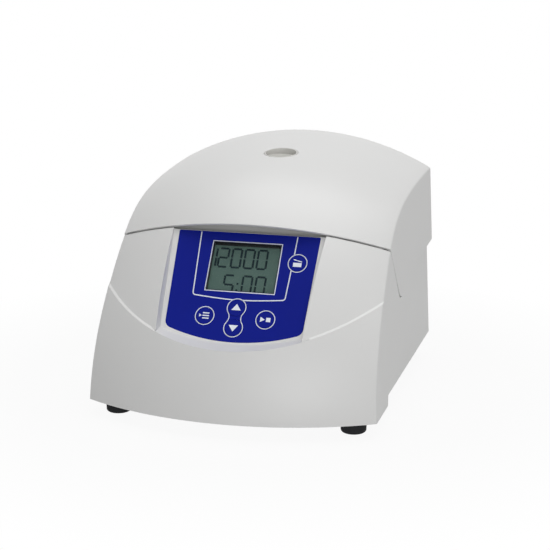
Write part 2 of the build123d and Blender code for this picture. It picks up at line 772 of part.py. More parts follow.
def motor_can():
    """Motor casing with bearing seats in its floor and roof."""
    seat = BEARING_RADIUS
    collar = seat + BEARING_WALL
    inside = MOTOR_RADIUS - MOTOR_WALL
    return spin(
        [
            (seat, MOTOR_BASE_Z), (MOTOR_RADIUS, MOTOR_BASE_Z), (MOTOR_RADIUS, MOTOR_TOP_Z),
            (seat, MOTOR_TOP_Z), (seat, MOTOR_TOP_Z - BEARING_HEIGHT),
            (collar, MOTOR_TOP_Z - BEARING_HEIGHT), (collar, MOTOR_TOP_Z - MOTOR_WALL),
            (inside, MOTOR_TOP_Z - MOTOR_WALL), (inside, MOTOR_BASE_Z + MOTOR_WALL),
            (collar, MOTOR_BASE_Z + MOTOR_WALL), (collar, MOTOR_BASE_Z + BEARING_HEIGHT),
            (seat, MOTOR_BASE_Z + BEARING_HEIGHT),
        ]
    )


def ring(inner, outer, low, high):
    """A plain ring round the rotor axis."""
    return spin([(inner, low), (outer, low), (outer, high), (inner, high)])


def motor_stator():
    """Laminated ring pressed into the casing."""
    return ring(CORE_RADIUS + STATOR_GAP, MOTOR_RADIUS - MOTOR_WALL, CORE_LOW_Z, CORE_HIGH_Z)


def motor_bearings():
    """Two ball bearings drawn as plain rings."""
    lows = (MOTOR_BASE_Z, MOTOR_TOP_Z - BEARING_HEIGHT)
    bore = SHAFT_RADIUS + RUN
    return Compound(children=[ring(bore, BEARING_RADIUS, low, low + BEARING_HEIGHT) for low in lows])


def motor_plate():
    """Steel plate on the dampers, with the motor on top."""
    return ring(MOTOR_PLATE_BORE, MOTOR_PLATE_RADIUS, MOTOR_PLATE_Z, MOTOR_BASE_Z)


def motor_dampers():
    """Three waisted rubber mounts between the pan and the motor plate."""
    low, high = PAN_TOP_Z, MOTOR_PLATE_Z
    damper = spin(
        [
            (0, low), (DAMPER_RADIUS, low), (DAMPER_RADIUS, low + DAMPER_COLLAR),
            (DAMPER_RADIUS - DAMPER_WAIST, (low + high) / 2),
            (DAMPER_RADIUS, high - DAMPER_COLLAR), (DAMPER_RADIUS, high), (0, high),
        ],
        y=AXIS_Y + DAMPER_CIRCLE,
    )
    return Compound(children=around(damper, 3))


def rotor_shaft():
    """Motor shaft with its shoulder and the thinner thread for the nut."""
    top = ROTOR_HUB_Z + NUT_HEIGHT - NUT_ROOF
    return spin(
        [
            (0, MOTOR_BASE_Z), (SHAFT_RADIUS, MOTOR_BASE_Z), (SHAFT_RADIUS, THREAD_Z - TAPER),
            (THREAD_RADIUS, THREAD_Z), (THREAD_RADIUS, top), (0, top),
        ]
    )


def rotor_core():
    """Motor armature on the shaft."""
    return ring(SHAFT_RADIUS, CORE_RADIUS, CORE_LOW_Z, CORE_HIGH_Z)


def rotor_head():
    """Fixed-angle rotor: a dished aluminium turning with a ring of slanted bores."""
    seat = ROTOR_FLOOR_Z
    rim = ROTOR_RIM_Z
    head = spin(
        [
            (SHAFT_RADIUS, seat + ROTOR_HOLLOW), (ROTOR_HUB_RADIUS, seat + ROTOR_HOLLOW),
            (ROTOR_HUB_RADIUS + ROTOR_HOLLOW, seat), (ROTOR_RADIUS - ROTOR_CHAMFER, seat),
            (ROTOR_RADIUS, seat + ROTOR_CHAMFER), (ROTOR_RADIUS, rim - ROTOR_SHOULDER_DROP),
            (ROTOR_RIM_RADIUS, rim), (ROTOR_RIM_RADIUS - ROTOR_RIM_FLAT, rim),
            (ROTOR_HUB_RADIUS, ROTOR_HUB_Z), (THREAD_RADIUS, ROTOR_HUB_Z),
            (THREAD_RADIUS, THREAD_Z), (SHAFT_RADIUS, THREAD_Z - TAPER),
        ]
    )
    lean = BORE_LEAN
    mouth = at(AXIS_Y, ROTOR_HUB_Z + BORE_SETBACK * math.tan(lean), ROTOR_HUB_RADIUS + BORE_SETBACK)
    drill = Plane(origin=mouth, x_dir=(0, 1, 0), z_dir=(math.sin(lean), 0, -math.cos(lean)))
    above = 2 * BORE_RADIUS
    bore = drill * Pos(0, 0, (BORE_DEPTH - above) / 2) * Cylinder(BORE_RADIUS, BORE_DEPTH + above)
    return head - around(bore, BORE_COUNT)


def rotor_nut():
    """Fluted nut that holds the rotor on its shaft."""
    low = ROTOR_HUB_Z
    high = low + NUT_HEIGHT
    nut = spin(
        [
            (THREAD_RADIUS, low), (NUT_RADIUS, low), (NUT_RADIUS, high - NUT_CHAMFER),
            (NUT_RADIUS - NUT_CHAMFER, high), (0, high), (0, high - NUT_ROOF),
            (THREAD_RADIUS, high - NUT_ROOF),
        ]
    )
    flute = post(NUT_RADIUS + FLUTE_RADIUS / 2, AXIS_Y, low + NUT_CHAMFER, high + 1, FLUTE_RADIUS)
    return nut - around(flute, FLUTE_COUNT)


# Lid

def lid_shell():
    """Moulded lid: the upper half of the crowned form with its side lobes."""
    reach = HALF + FORM_REACH
    shell = rounded_form(0.0, LID_FLARE) & seam_zone()
    shell &= block(FORM_FRONT_Y, LID_REAR_Y, 0, FORM_HIGH_Z, reach)
    hollow = form(WALL, WALL, LID_FLARE)
    shell -= hollow & block(FORM_FRONT_Y, LID_REAR_Y - WALL, FORM_LOW_Z, FORM_HIGH_Z, reach)
    shell = max(shell.solids(), key=lambda piece: piece.volume)
    return shell - post(0, AXIS_Y, LINER_Z, FORM_HIGH_Z, SIGHT_RADIUS)


def lid_liner():
    """Inner lid plate with its front upstand, following the crown from inside."""
    back = LINER_FRONT_Y + LINER_LIP
    rear = LID_REAR_Y - WALL - CLEAR
    top = LINER_Z + LINER_THICK
    outline = [
        (LINER_FRONT_Y, LINER_Z), (LINER_FRONT_Y, FORM_HIGH_Z), (back, FORM_HIGH_Z),
        (back, top), (rear, top), (rear, LINER_Z),
    ]
    liner = form(WALL + CLEAR, WALL + CLEAR, LID_FLARE) & side_prism(outline, HALF + FORM_REACH)
    return liner - post(0, AXIS_Y, LINER_Z - 1, top + 1, SIGHT_RADIUS - CLEAR)


def lid_seal():
    """Rubber ring that meets the bowl's rim."""
    low = DECK_Z + CLEAR
    outer = BOWL_FLANGE
    inner = outer - SEAL_WIDTH
    return spin(
        [
            (inner, LINER_Z), (inner, low + SEAL_CHAMFER), (inner + SEAL_CHAMFER, low),
            (outer - SEAL_CHAMFER, low), (outer, low + SEAL_CHAMFER), (outer, LINER_Z),
        ]
    )


def sight_tube():
    """Tube from the lid's skin to the liner, with a ledge for the pane."""
    outer = SIGHT_RADIUS - CLEAR
    inner = outer - SIGHT_WALL
    ledge = inner - SIGHT_LEDGE
    tube = spin(
        [
            (inner, LINER_Z), (outer, LINER_Z), (outer, FORM_HIGH_Z), (inner, FORM_HIGH_Z),
            (inner, PANE_Z), (ledge, PANE_Z), (ledge, PANE_Z - SIGHT_LEDGE),
            (inner, PANE_Z - 2 * SIGHT_LEDGE),
        ]
    )
    return tube & form(0.0, 0.0, LID_FLARE)


def lid_window():
    """Clear pane on the ledge inside the sight tube."""
    radius = SIGHT_RADIUS - SIGHT_WALL - 1.5 * CLEAR
    return post(0, AXIS_Y, PANE_Z, PANE_Z + PANE_THICK, radius)


def lid_striker():
    """Folded steel plate with the window that the hook enters."""
    back = STRIKER_Y + STRIKER_THICK
    blade = block(STRIKER_Y, back, STRIKER_LOW_Z, LINER_Z, STRIKER_HALF)
    foot = block(STRIKER_Y, back + STRIKER_FOOT, LINER_Z - STRIKER_THICK, LINER_Z, STRIKER_HALF)
    low = STRIKER_LOW_Z + STRIKER_SILL
    hole = block(STRIKER_Y - 1, back + 1, low, low + STRIKER_WINDOW_HEIGHT, STRIKER_WINDOW_HALF)
    return blade + foot - hole


def lid_screws():
    """Screw heads that hold the striker and the hinge arms to the lid."""
    screws = []
    seat = LINER_Z - STRIKER_THICK
    y = STRIKER_Y + STRIKER_THICK + STRIKER_FOOT / 2
    for x in (-STRIKER_HALF * 2 / 3, STRIKER_HALF * 2 / 3):
        screws.append(post(x, y, seat - LID_SCREW_HEIGHT, seat, LID_SCREW_HEAD))
    face = LID_REAR_Y - WALL - LEAF_THICK
    z = HINGE_Z + HINGE_SCREW_RISE
    for hinge in (-HINGE_X, HINGE_X):
        for x in (hinge - HINGE_SCREW_PITCH, hinge + HINGE_SCREW_PITCH):
            head = Rot(90, 0, 0) * Cylinder(LID_SCREW_HEAD, LID_SCREW_HEIGHT)
            screws.append(Pos(at(face - LID_SCREW_HEIGHT / 2, z, x)) * head)
    return Compound(children=screws)


# Hinges and latch

def hinge_spans(side):
    """The three knuckle stretches of one hinge, from left to right."""
    middle = (side * HINGE_X - KNUCKLE_LENGTH / 2, side * HINGE_X + KNUCKLE_LENGTH / 2)
    left = (middle[0] - CLEAR - KNUCKLE_END, middle[0] - CLEAR)
    right = (middle[1] + CLEAR, middle[1] + CLEAR + KNUCKLE_END)
    return left, middle, right


def hinge_base(side):
    """Leaf on the deck's rear wall with two knuckles."""
    left, middle, right = hinge_spans(side)
    half = (right[1] - left[0]) / 2
    face = DECK_REAR_Y + LEAF_THICK
    leaf = block(DECK_REAR_Y, face, REAR_TOP_Z + CLEAR, HINGE_Z + LEAF_RISE, half, side * HINGE_X)
    for start, end in (left, right):
        mid = (start + end) / 2
        leaf += block(DECK_REAR_Y, HINGE_Y, HINGE_Z - WEB_HALF, HINGE_Z + WEB_HALF, (end - start) / 2, mid)
        leaf += bar(HINGE_Y, HINGE_Z, start, end, KNUCKLE_RADIUS)
    return leaf - bar(HINGE_Y, HINGE_Z, left[0] - 1, right[1] + 1, PIN_RADIUS)


def hinge_arm(side):
    """Lid leaf: one knuckle and a plate against the lid's rear wall."""
    start, end = hinge_spans(side)[1]
    face = LID_REAR_Y - WALL
    wide_z = HINGE_Z + PIN_RADIUS + HINGE_SCREW_PITCH - CLEAR * 10
    arm = block(face - LEAF_THICK, face, wide_z, LINER_Z, KNUCKLE_LENGTH, side * HINGE_X)
    arm += block(face - LEAF_THICK, face, HINGE_Z, LINER_Z, KNUCKLE_LENGTH / 2, side * HINGE_X)
    arm += bar(HINGE_Y, HINGE_Z, start, end, KNUCKLE_RADIUS)
    return arm - bar(HINGE_Y, HINGE_Z, start - 1, end + 1, PIN_RADIUS + RUN)


def hinge_pin(side):
    """Pin pressed into the two outer knuckles."""
    left, middle, right = hinge_spans(side)
    return bar(HINGE_Y, HINGE_Z, left[0] - PIN_END, right[1] + PIN_END, PIN_RADIUS)


def latch_hook():
    """Turning hook with its stub shaft, drawn in the released place."""
    lean = math.radians(HOOK_REST)
    middle = at(HOOK_Y + HOOK_REACH / 2 * math.cos(lean), HOOK_Z + HOOK_REACH / 2 * math.sin(lean))
    frame = Plane(origin=middle, x_dir=(0, math.cos(lean), math.sin(lean)), z_dir=(1, 0, 0))
    outline = frame * SlotCenterToCenter(HOOK_REACH, HOOK_WIDTH)
    hook = extrude(outline, amount=HOOK_WIDTH / 2, both=True)
    hub_end = LATCH_MOTOR_X - BRACKET_THICK - CLEAR
    hook += bar(HOOK_Y, HOOK_Z, -HOOK_WIDTH / 2, hub_end, HOOK_HUB)
    return hook + bar(HOOK_Y, HOOK_Z, 0, LATCH_MOTOR_X + HOOK_SHAFT_SEAT, HOOK_SHAFT)


def latch_bracket():
    """Angle bracket under the deck that carries the latch motor."""
    roof = DECK_Z - DECK_THICK
    front, back = HOOK_Y - LATCH_MOTOR_RADIUS, HOOK_Y + LATCH_MOTOR_RADIUS
    x1, x2 = LATCH_MOTOR_X - BRACKET_THICK, LATCH_MOTOR_X
    cheek = block(front, back, HOOK_Z - LATCH_MOTOR_RADIUS, roof, BRACKET_THICK / 2, (x1 + x2) / 2)
    shelf_end = LATCH_MOTOR_X + BRACKET_SHELF
    shelf = block(front, back, roof - BRACKET_THICK, roof, (shelf_end - x1) / 2, (shelf_end + x1) / 2)
    return cheek + shelf - bar(HOOK_Y, HOOK_Z, x1 - 1, x2 + 1, HOOK_SHAFT + CLEAR)


def latch_motor():
    """Small gear motor that turns the hook."""
    end = LATCH_MOTOR_X + LATCH_MOTOR_LENGTH
    seat = LATCH_MOTOR_X + HOOK_SHAFT_SEAT + CLEAR
    body = bar(HOOK_Y, HOOK_Z, LATCH_MOTOR_X, end, LATCH_MOTOR_RADIUS)
    return body - bar(HOOK_Y, HOOK_Z, LATCH_MOTOR_X - 1, seat, HOOK_SHAFT + RUN)


# Base

def base_pan():
    """Flat steel floor that follows the crowned outline."""
    pan = form(INNER_SKIN + PAN_GAP, WALL + PAN_GAP)
    pan &= block(FORM_FRONT_Y, BODY_REAR_Y - REAR_THICK, PAN_Z, PAN_TOP_Z, HALF)
    for x, y in FEET.values():
        pan -= post(x, y, PAN_Z - 1, PAN_TOP_Z + 1, SCREW_RADIUS)
    for row in range(PAN_VENT_COUNT):
        y = PAN_VENT_Y + PAN_VENT_PITCH * row
        for x in (-PAN_VENT_X, PAN_VENT_X):
            pan -= block(y, y + PAN_VENT_WIDTH, PAN_Z - 1, PAN_TOP_Z + 1, PAN_VENT_HALF, x)
    return pan


def foot(x, y):
    """Tapered rubber foot with a sunk screw seat."""
    seat = PAN_Z - FOOT_SEAT
    body = spin(
        [
            (0, PAN_Z), (FOOT_RADIUS, PAN_Z), (FOOT_TIP_RADIUS, FOOT_CHAMFER - FOOT_HEIGHT),
            (FOOT_TIP_RADIUS - FOOT_CHAMFER, -FOOT_HEIGHT), (0, -FOOT_HEIGHT),
        ],
        x, y,
    )
    well = post(x, y, -FOOT_HEIGHT - 1, seat, SCREW_HEAD + 1)
    return body - well - post(x, y, seat - 1, PAN_Z + 1, SCREW_RADIUS)


def foot_screws():
    """Four screws up through the feet and the pan into the housing bosses."""
    seat = PAN_Z - FOOT_SEAT
    screws = []
    for x, y in FEET.values():
        head = post(x, y, seat - SCREW_HEAD_HEIGHT, seat, SCREW_HEAD)
        screws.append(head + post(x, y, seat - 1, PAN_TOP_Z + SCREW_GRIP, SCREW_RADIUS))
    return Compound(children=screws)


# Rear panel, inlet and mains switch

def rear_panel():
    """Steel back with vents and the openings for inlet and switch."""
    inside = form(INNER_SKIN, WALL + CLEAR)
    front = BODY_REAR_Y - REAR_THICK
    panel = inside & block(front, BODY_REAR_Y, PAN_Z, REAR_TOP_Z, HALF)
    panel += inside & block(DECK_REAR_Y, front + 1, REAR_TOP_Z - REAR_THICK, REAR_TOP_Z, HALF)
    for column in range(VENT_COUNT):
        x = VENT_X - VENT_PITCH * column
        for low in (VENT_LOW_Z, VENT_HIGH_Z):
            panel -= block(front - 1, BODY_REAR_Y + 1, low, low + VENT_HEIGHT, VENT_WIDTH / 2, x)
    return panel - inlet_block(CLEAR / 2) - switch_block(CLEAR / 2)


def inlet_block(grow=0.0):
    """Body of the inlet behind the rear panel."""
    low, high = INLET_Z - INLET_TALL - grow, INLET_Z + INLET_TALL + grow
    return block(BODY_REAR_Y - INLET_DEPTH, BODY_REAR_Y, low, high, INLET_HALF + grow, INLET_X)


def power_inlet():
    """Appliance inlet with a chamfered socket and a flange outside the panel."""
    mouth = BODY_REAR_Y + FLANGE_THICK
    low, high = INLET_Z - INLET_TALL - INLET_LAP, INLET_Z + INLET_TALL + INLET_LAP
    body = inlet_block() + block(BODY_REAR_Y, mouth, low, high, INLET_HALF + INLET_LAP, INLET_X)
    wide, tall, cut = INLET_HALF - INLET_WALL, INLET_TALL - INLET_WALL, INLET_CUT
    corners = [(-wide, -tall), (wide, -tall), (wide, tall - cut), (wide - cut, tall),
               (cut - wide, tall), (-wide, tall - cut)]
    outline = Polyline(*[at(mouth, INLET_Z + z, INLET_X + x) for x, z in corners], close=True)
    socket = extrude(make_face(outline), amount=SOCKET_DEPTH, dir=(0, -1, 0))
    return body - socket - inlet_pins()


def inlet_pins():
    """Three blades standing in the socket, the earth blade set higher."""
    floor = BODY_REAR_Y + FLANGE_THICK - SOCKET_DEPTH
    pins = []
    tall = 2 * PIN_TALL
    for shift, rise in ((-PIN_PITCH, 0), (0, tall), (PIN_PITCH, 0)):
        low = INLET_Z - PIN_TALL - PIN_HALF + rise
        x = INLET_X + shift
        pins.append(block(floor - PIN_ROOT, floor + PIN_LENGTH, low, low + tall, PIN_HALF, x))
    return Compound(children=pins)


def switch_block(grow=0.0):
    """Body of the mains switch behind the rear panel."""
    low, high = INLET_Z - SWITCH_HALF_Z - grow, INLET_Z + SWITCH_HALF_Z + grow
    return block(BODY_REAR_Y - SWITCH_DEPTH, BODY_REAR_Y, low, high, SWITCH_HALF_X + grow, ROCKER_X)


def switch_frame():
    """Mains switch body, hollow for the rocker and its pivot."""
    low, high = INLET_Z - SWITCH_HALF_Z - SWITCH_LAP, INLET_Z + SWITCH_HALF_Z + SWITCH_LAP
    front = BODY_REAR_Y + FLANGE_THICK
    body = switch_block() + block(BODY_REAR_Y, front, low, high, SWITCH_HALF_X + SWITCH_LAP, ROCKER_X)
    half = ROCKER_WIDTH / 2 + CLEAR
    tall = ROCKER_RADIUS + ROCKER_GAP
    stub = half + PIVOT_STUB
    body -= bar(ROCKER_Y, INLET_Z, ROCKER_X - half, ROCKER_X + half, tall)
    body -= block(ROCKER_Y, front + 1, INLET_Z - tall, INLET_Z + tall, half, ROCKER_X)
    return body - bar(ROCKER_Y, INLET_Z, ROCKER_X - stub, ROCKER_X + stub, PIVOT_RADIUS + RUN)


def power_rocker():
    """Rocker with a shallow valley across its face, balanced on its pivot."""
    half = ROCKER_WIDTH / 2
    low, high = INLET_Z - ROCKER_RADIUS - 1, INLET_Z + ROCKER_RADIUS + 1
    back, front = ROCKER_Y - ROCKER_BACK, ROCKER_Y + ROCKER_RISE
    outline = [(back, low), (front, low), (front - ROCKER_VALLEY, INLET_Z), (front, high), (back, high)]
    drum = bar(ROCKER_Y, INLET_Z, ROCKER_X - half, ROCKER_X + half, ROCKER_RADIUS)
    rocker = drum & (Pos(ROCKER_X, 0, 0) * side_prism(outline, half))
    stub = half + PIVOT_STUB
    return rocker + bar(ROCKER_Y, INLET_Z, ROCKER_X - stub, ROCKER_X + stub, PIVOT_RADIUS)


# Supply board

def power_board():
    """Supply board on its posts in front of the motor."""
    low = PAN_TOP_Z + SUPPLY_LIFT
    return block(SUPPLY_FRONT_Y, SUPPLY_REAR_Y, low, low + BOARD_THICK, SUPPLY_HALF)


def power_parts():
    """Posts, heat sink, capacitors and filter block of the supply board."""
    low = PAN_TOP_Z + SUPPLY_LIFT
    top = low + BOARD_THICK
    near, far = SUPPLY_FRONT_Y + SUPPLY_EDGE, SUPPLY_REAR_Y - SUPPLY_EDGE
    parts = []
    for x in (SUPPLY_EDGE - SUPPLY_HALF, SUPPLY_HALF - SUPPLY_EDGE):
        for y in (near, far):
            parts.append(post(x, y, PAN_TOP_Z, low, SUPPLY_POST))
    sink = block(near + SUPPLY_POST, far - SUPPLY_POST, top, top + SINK_BASE, SINK_HALF, SINK_X)
    for fin in range(FIN_COUNT):
        x = SINK_X + FIN_PITCH * (fin - (FIN_COUNT - 1) / 2)
        sink += block(near + SUPPLY_POST, far - SUPPLY_POST, top, top + SINK_HEIGHT, FIN_THICK / 2, x)
    parts.append(sink)
    for number in range(CAPACITOR_COUNT):
        x = CAPACITOR_PITCH * (number - (CAPACITOR_COUNT - 1) / 2)
        parts.append(post(x, SUPPLY_REAR_Y - CAPACITOR_PITCH, top, top + CAPACITOR_HEIGHT, CAPACITOR_RADIUS))
    front, back = near + SUPPLY_EDGE, far - SUPPLY_EDGE
    parts.append(block(front, back, top, top + FILTER_HEIGHT, FILTER_HALF, FILTER_X))
    return Compound(children=parts)


def build():
    """Every named piece of the instrument."""
    nodes = {
        "housing_shell": housing_shell(),
        "panel_overlay": panel_overlay(),
        "lcd_glass": lcd_glass(),
        "lcd_module": lcd_module(),
        "control_board": control_board(),
        "key_switches": key_switches(),
        "board_screws": board_screws(),
        "rotor_deck": rotor_deck(),
        "rotor_bowl": rotor_bowl(),
        "shaft_gaiter": shaft_gaiter(),
        "motor_can": motor_can(),
        "motor_stator": motor_stator(),
        "motor_bearings": motor_bearings(),
        "motor_plate": motor_plate(),
        "motor_dampers": motor_dampers(),
        "base_pan": base_pan(),
        "foot_screws": foot_screws(),
        "rear_panel": rear_panel(),
        "power_inlet": power_inlet(),
        "inlet_pins": inlet_pins(),
        "switch_frame": switch_frame(),
        "power_rocker": power_rocker(),
        "power_board": power_board(),
        "power_parts": power_parts(),
        "latch_bracket": latch_bracket(),
        "latch_motor": latch_motor(),
        "latch_hook": latch_hook(),
        "rotor_shaft": rotor_shaft(),
        "rotor_core": rotor_core(),
        "rotor_head": rotor_head(),
        "rotor_nut": rotor_nut(),
        "lid_shell": lid_shell(),
        "lid_liner": lid_liner(),
        "lid_seal": lid_seal(),
        "sight_tube": sight_tube(),
        "lid_window": lid_window(),
        "lid_striker": lid_striker(),
        "lid_screws": lid_screws(),
    }
    for name, (x, s) in KEYS.items():
        nodes[name] = key(x, s)
    for name, (x, y) in FEET.items():
        nodes[name] = foot(x, y)
    for label, side in (("left", -1), ("right", 1)):
        nodes[f"hinge_base_{label}"] = hinge_base(side)
        nodes[f"hinge_arm_{label}"] = hinge_arm(side)
        nodes[f"hinge_pin_{label}"] = hinge_pin(side)
    return nodes


if __name__ == "__main__":
    os.makedirs("parts", exist_ok=True)
    for name, shape in build().items():
        export_step(shape, f"parts/{name}.step")
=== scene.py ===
# %% [markdown]
# # A benchtop microcentrifuge
#
# The instrument is two moulded shells, a housing and a hinged lid, round a steel chamber with a
# small fast rotor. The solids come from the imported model. This lesson gives them their finish, the
# printed panel, the display, the screws and the rotor's numbers.

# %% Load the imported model
import json
import math

import bmesh
import bpy
from mathutils import Matrix, Vector


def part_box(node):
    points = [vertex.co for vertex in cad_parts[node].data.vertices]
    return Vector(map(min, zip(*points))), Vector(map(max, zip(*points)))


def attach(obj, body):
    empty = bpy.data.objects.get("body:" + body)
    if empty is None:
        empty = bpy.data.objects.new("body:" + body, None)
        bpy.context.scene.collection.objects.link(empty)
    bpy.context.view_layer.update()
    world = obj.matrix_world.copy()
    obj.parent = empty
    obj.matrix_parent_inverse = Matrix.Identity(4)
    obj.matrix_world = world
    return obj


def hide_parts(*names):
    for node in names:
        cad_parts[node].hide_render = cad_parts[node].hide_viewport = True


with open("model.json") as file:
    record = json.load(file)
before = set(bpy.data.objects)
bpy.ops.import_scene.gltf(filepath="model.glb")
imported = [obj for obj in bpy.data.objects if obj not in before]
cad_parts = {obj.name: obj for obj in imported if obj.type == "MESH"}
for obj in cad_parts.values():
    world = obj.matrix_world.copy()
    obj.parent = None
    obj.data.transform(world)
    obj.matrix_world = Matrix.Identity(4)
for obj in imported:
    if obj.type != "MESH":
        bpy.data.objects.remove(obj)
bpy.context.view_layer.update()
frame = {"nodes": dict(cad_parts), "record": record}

# %% [markdown]
# ## Where things are
#
# Every node already lies where it belongs, so the work starts by asking the nodes for their places.
# The rotor's middle gives the upright axis, and the control panel gets its own frame: across, up
# its face, and out of it. A piece on the panel is drawn flat in millimetres and put in place once.

# %% Places taken from the nodes
PANEL_TILT = math.radians(36.66)
PANEL_MIDDLE = (0, -0.07825, 0.1438)


def middle(node):
    """The middle of a node's box."""
    low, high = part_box(node)
    return (low + high) / 2


axis = middle("rotor_head")
axis.z = 0
lean_back = Matrix.Rotation(math.pi / 2 - PANEL_TILT, 4, "X")
millimetres = Matrix.Scale(0.001, 4)
on_panel = Matrix.Translation(PANEL_MIDDLE) @ lean_back @ millimetres
on_axis = Matrix.Translation(axis) @ millimetres

# %% [markdown]
# ## The camera
#
# The photograph is a product view from the operator's right, a little above, with a long lens that
# keeps the shells' edges nearly parallel. The camera could be turned by three angles. One direction,
# from the object back to the lens, says the same and keeps upright edges upright.

# %% Camera
CAMERA_AT = (0.40814, -1.48386, 0.50171)
CAMERA_BACKWARD = (0.25182, -0.93644, 0.24427)
FOCAL_LENGTH = 103.97

lens = bpy.data.cameras.new("camera")
lens.lens = FOCAL_LENGTH
camera = bpy.data.objects.new("camera", lens)
bpy.context.scene.collection.objects.link(camera)
camera.location = CAMERA_AT
camera.rotation_mode = "QUATERNION"
camera.rotation_quaternion = Vector(CAMERA_BACKWARD).to_track_quat("Z", "Y")
bpy.context.scene.camera = camera
bpy.context.scene.view_settings.view_transform = "Standard"
print("camera at", [round(v, 3) for v in camera.location])

# %% [markdown]
# ## Arithmetic on sockets
#
# A finish is easier to read as a formula than as a list of links. The small class below wraps one
# socket. Adding or multiplying it adds a Math node, in either order, and every other node comes
# from one method. Materials and Geometry Nodes share that method, because both are node trees.

# %% Sockets that take part in sums


class Wire:
    """A shader socket that can be used in arithmetic."""

    def __init__(self, recipe, socket):
        self.recipe = recipe
        self.socket = socket

    def math(self, operation, *others):
        """A Math node on this value and the others."""
        values = {0: self, **{i + 1: other for i, other in enumerate(others)}}
        return self.recipe.node("ShaderNodeMath", {"operation": operation}, values)

    def __add__(self, other):
        return self.math("ADD", other)

    def __sub__(self, other):
        return self.math("SUBTRACT", other)

    def __mul__(self, other):
        return self.math("MULTIPLY", other)

    def __truediv__(self, other):
        return self.math("DIVIDE", other)

    def __rsub__(self, other):
        return (self * -1).math("ADD", other)

    def __abs__(self):
        return self.math("ABSOLUTE")

    def below(self, limit):
        return self.math("LESS_THAN", limit)

    def above(self, limit):
        return self.math("GREATER_THAN", limit)

    __radd__ = __add__
    __rmul__ = __mul__


class Graph:
    """A node tree under construction."""

    def node(self, kind, settings=None, sockets=None, out=0):
        """Add a node, set it up, fill or link its sockets, and give one output."""
        node = self.tree.nodes.new(kind)
        for key, value in (settings or {}).items():
            setattr(node, key, value)
        for key, value in (sockets or {}).items():
            for item in value if isinstance(value, list) else [value]:
                if isinstance(item, Wire):
                    self.tree.links.new(item.socket, node.inputs[key])
                else:
                    node.inputs[key].default_value = item
        return Wire(self, node.outputs[out])


class Recipe(Graph):
    """A material under construction."""

    def __init__(self, name, **constants):
        self.material = bpy.data.materials.new(name)
        self.material.use_nodes = True
        self.tree = self.material.node_tree
        self.shader = self.tree.nodes["Principled BSDF"]
        for socket, value in constants.items():
            self.shader.inputs[socket.replace("_", " ")].default_value = value

    def feed(self, **wires):
        """Link wires to the shader's sockets."""
        for socket, wire in wires.items():
            self.tree.links.new(wire.socket, self.shader.inputs[socket.replace("_", " ")])
        return self

    def place(self, centre=(0, 0, 0)):
        """Object coordinates about a centre, in metres."""
        coordinates = self.node("ShaderNodeTexCoord", out="Object")
        shift = tuple(-c for c in centre)
        return self.node("ShaderNodeMapping", None, {"Vector": coordinates, "Location": shift})

    def noise(self, where, size, detail=2.0, roughness=0.5):
        """Noise with features of a size in metres, from 0 to 1."""
        sockets = {"Vector": where, "Scale": 1 / size, "Detail": detail, "Roughness": roughness}
        return self.node("ShaderNodeTexNoise", None, sockets)

    def mix(self, amount, first, second):
        """A colour between two."""
        return self.node("ShaderNodeMix", {"data_type": "RGBA"}, {0: amount, 6: first, 7: second}, 2)

    def bump(self, height, depth):
        """Surface relief of a depth in metres."""
        return self.node("ShaderNodeBump", None, {"Height": height, "Distance": depth, "Strength": 1.0})


def shade(r, g, b):
    """A screen colour of 0 to 255 as the linear colour that a node takes."""
    linear = []
    for value in (r, g, b):
        v = value / 255
        linear.append(v / 12.92 if v <= 0.04045 else ((v + 0.055) / 1.055) ** 2.4)
    return (*linear, 1.0)


def darker(colour, share):
    """A share of a linear colour."""
    return tuple(c * share for c in colour[:3]) + (1,)


print("recipe tools ready")

# %% [markdown]
# ## Moulded plastic
#
# Both shells are injection moulded in one warm light grey, with the fine even texture that a
# spark-eroded mould leaves. It could be painted or left smooth, but the photograph shows a soft
# sheen with no sharp reflections. So the colour is nearly flat, the roughness wanders a little, and
# a very fine noise gives the grain.

# %% Plastics
CLOUD_SIZE, CLOUD_ROUGH, GRAIN_ROUGH = 0.05, 0.08, 0.05


def moulded(name, colour, rough, grain=0.0006, depth=0.00002, drift=0.03, gloss=0.35):
    """Moulded plastic with mould grain and a faint drift of shade."""
    recipe = Recipe(name, IOR=1.48, Specular_IOR_Level=gloss)
    where = recipe.place()
    cloud = recipe.noise(where, CLOUD_SIZE, 3.0)
    fine = recipe.noise(where, grain, 2.0)
    recipe.feed(
        Base_Color=recipe.mix(cloud, darker(colour, 1 - drift), colour),
        Roughness=rough + (cloud - 0.5) * CLOUD_ROUGH + (fine - 0.5) * GRAIN_ROUGH,
        Normal=recipe.bump(fine, depth),
    )
    return recipe.material


finish = {
    "housing_plastic": moulded("housing_plastic", shade(222, 222, 221), 0.42, gloss=0.5),
    "inner_plastic": moulded("inner_plastic", shade(196, 196, 193), 0.52),
    "tube_grey": moulded("tube_grey", shade(206, 205, 201), 0.35, 0.0004, 0.00001),
    "black_plastic": moulded("black_plastic", shade(30, 31, 33), 0.38),
    "rear_paint": moulded("rear_paint", shade(205, 205, 201), 0.5, 0.0011, 0.00006, 0.02),
    "black_rubber": moulded("black_rubber", shade(48, 49, 51), 0.8, 0.0009, 0.00004, 0.25, 0.15),
    "dark_parts": moulded("dark_parts", shade(44, 46, 52), 0.4, 0.0007, 0.00003, 0.2),
    "painted_can": moulded("painted_can", shade(70, 71, 74), 0.34, 0.0014, 0.00004, 0.08),
}
print("plastics:", ", ".join(finish))

# %% [markdown]
# ## Printed foil
#
# The panel is a polyester foil, printed blue on its back and given a light satin grain on its
# front. One flat colour would do, but no foil is that even. So the blue drifts a little and a fine
# grain breaks up what it mirrors. The gloss stays low, because the photographed blue is deep and
# free of haze. The light ink is the same finish in another colour.

# %% Foil and ink
FOIL_GLOSS = 0.12
FOIL_GRAIN, FOIL_RELIEF = 0.00035, 0.000008


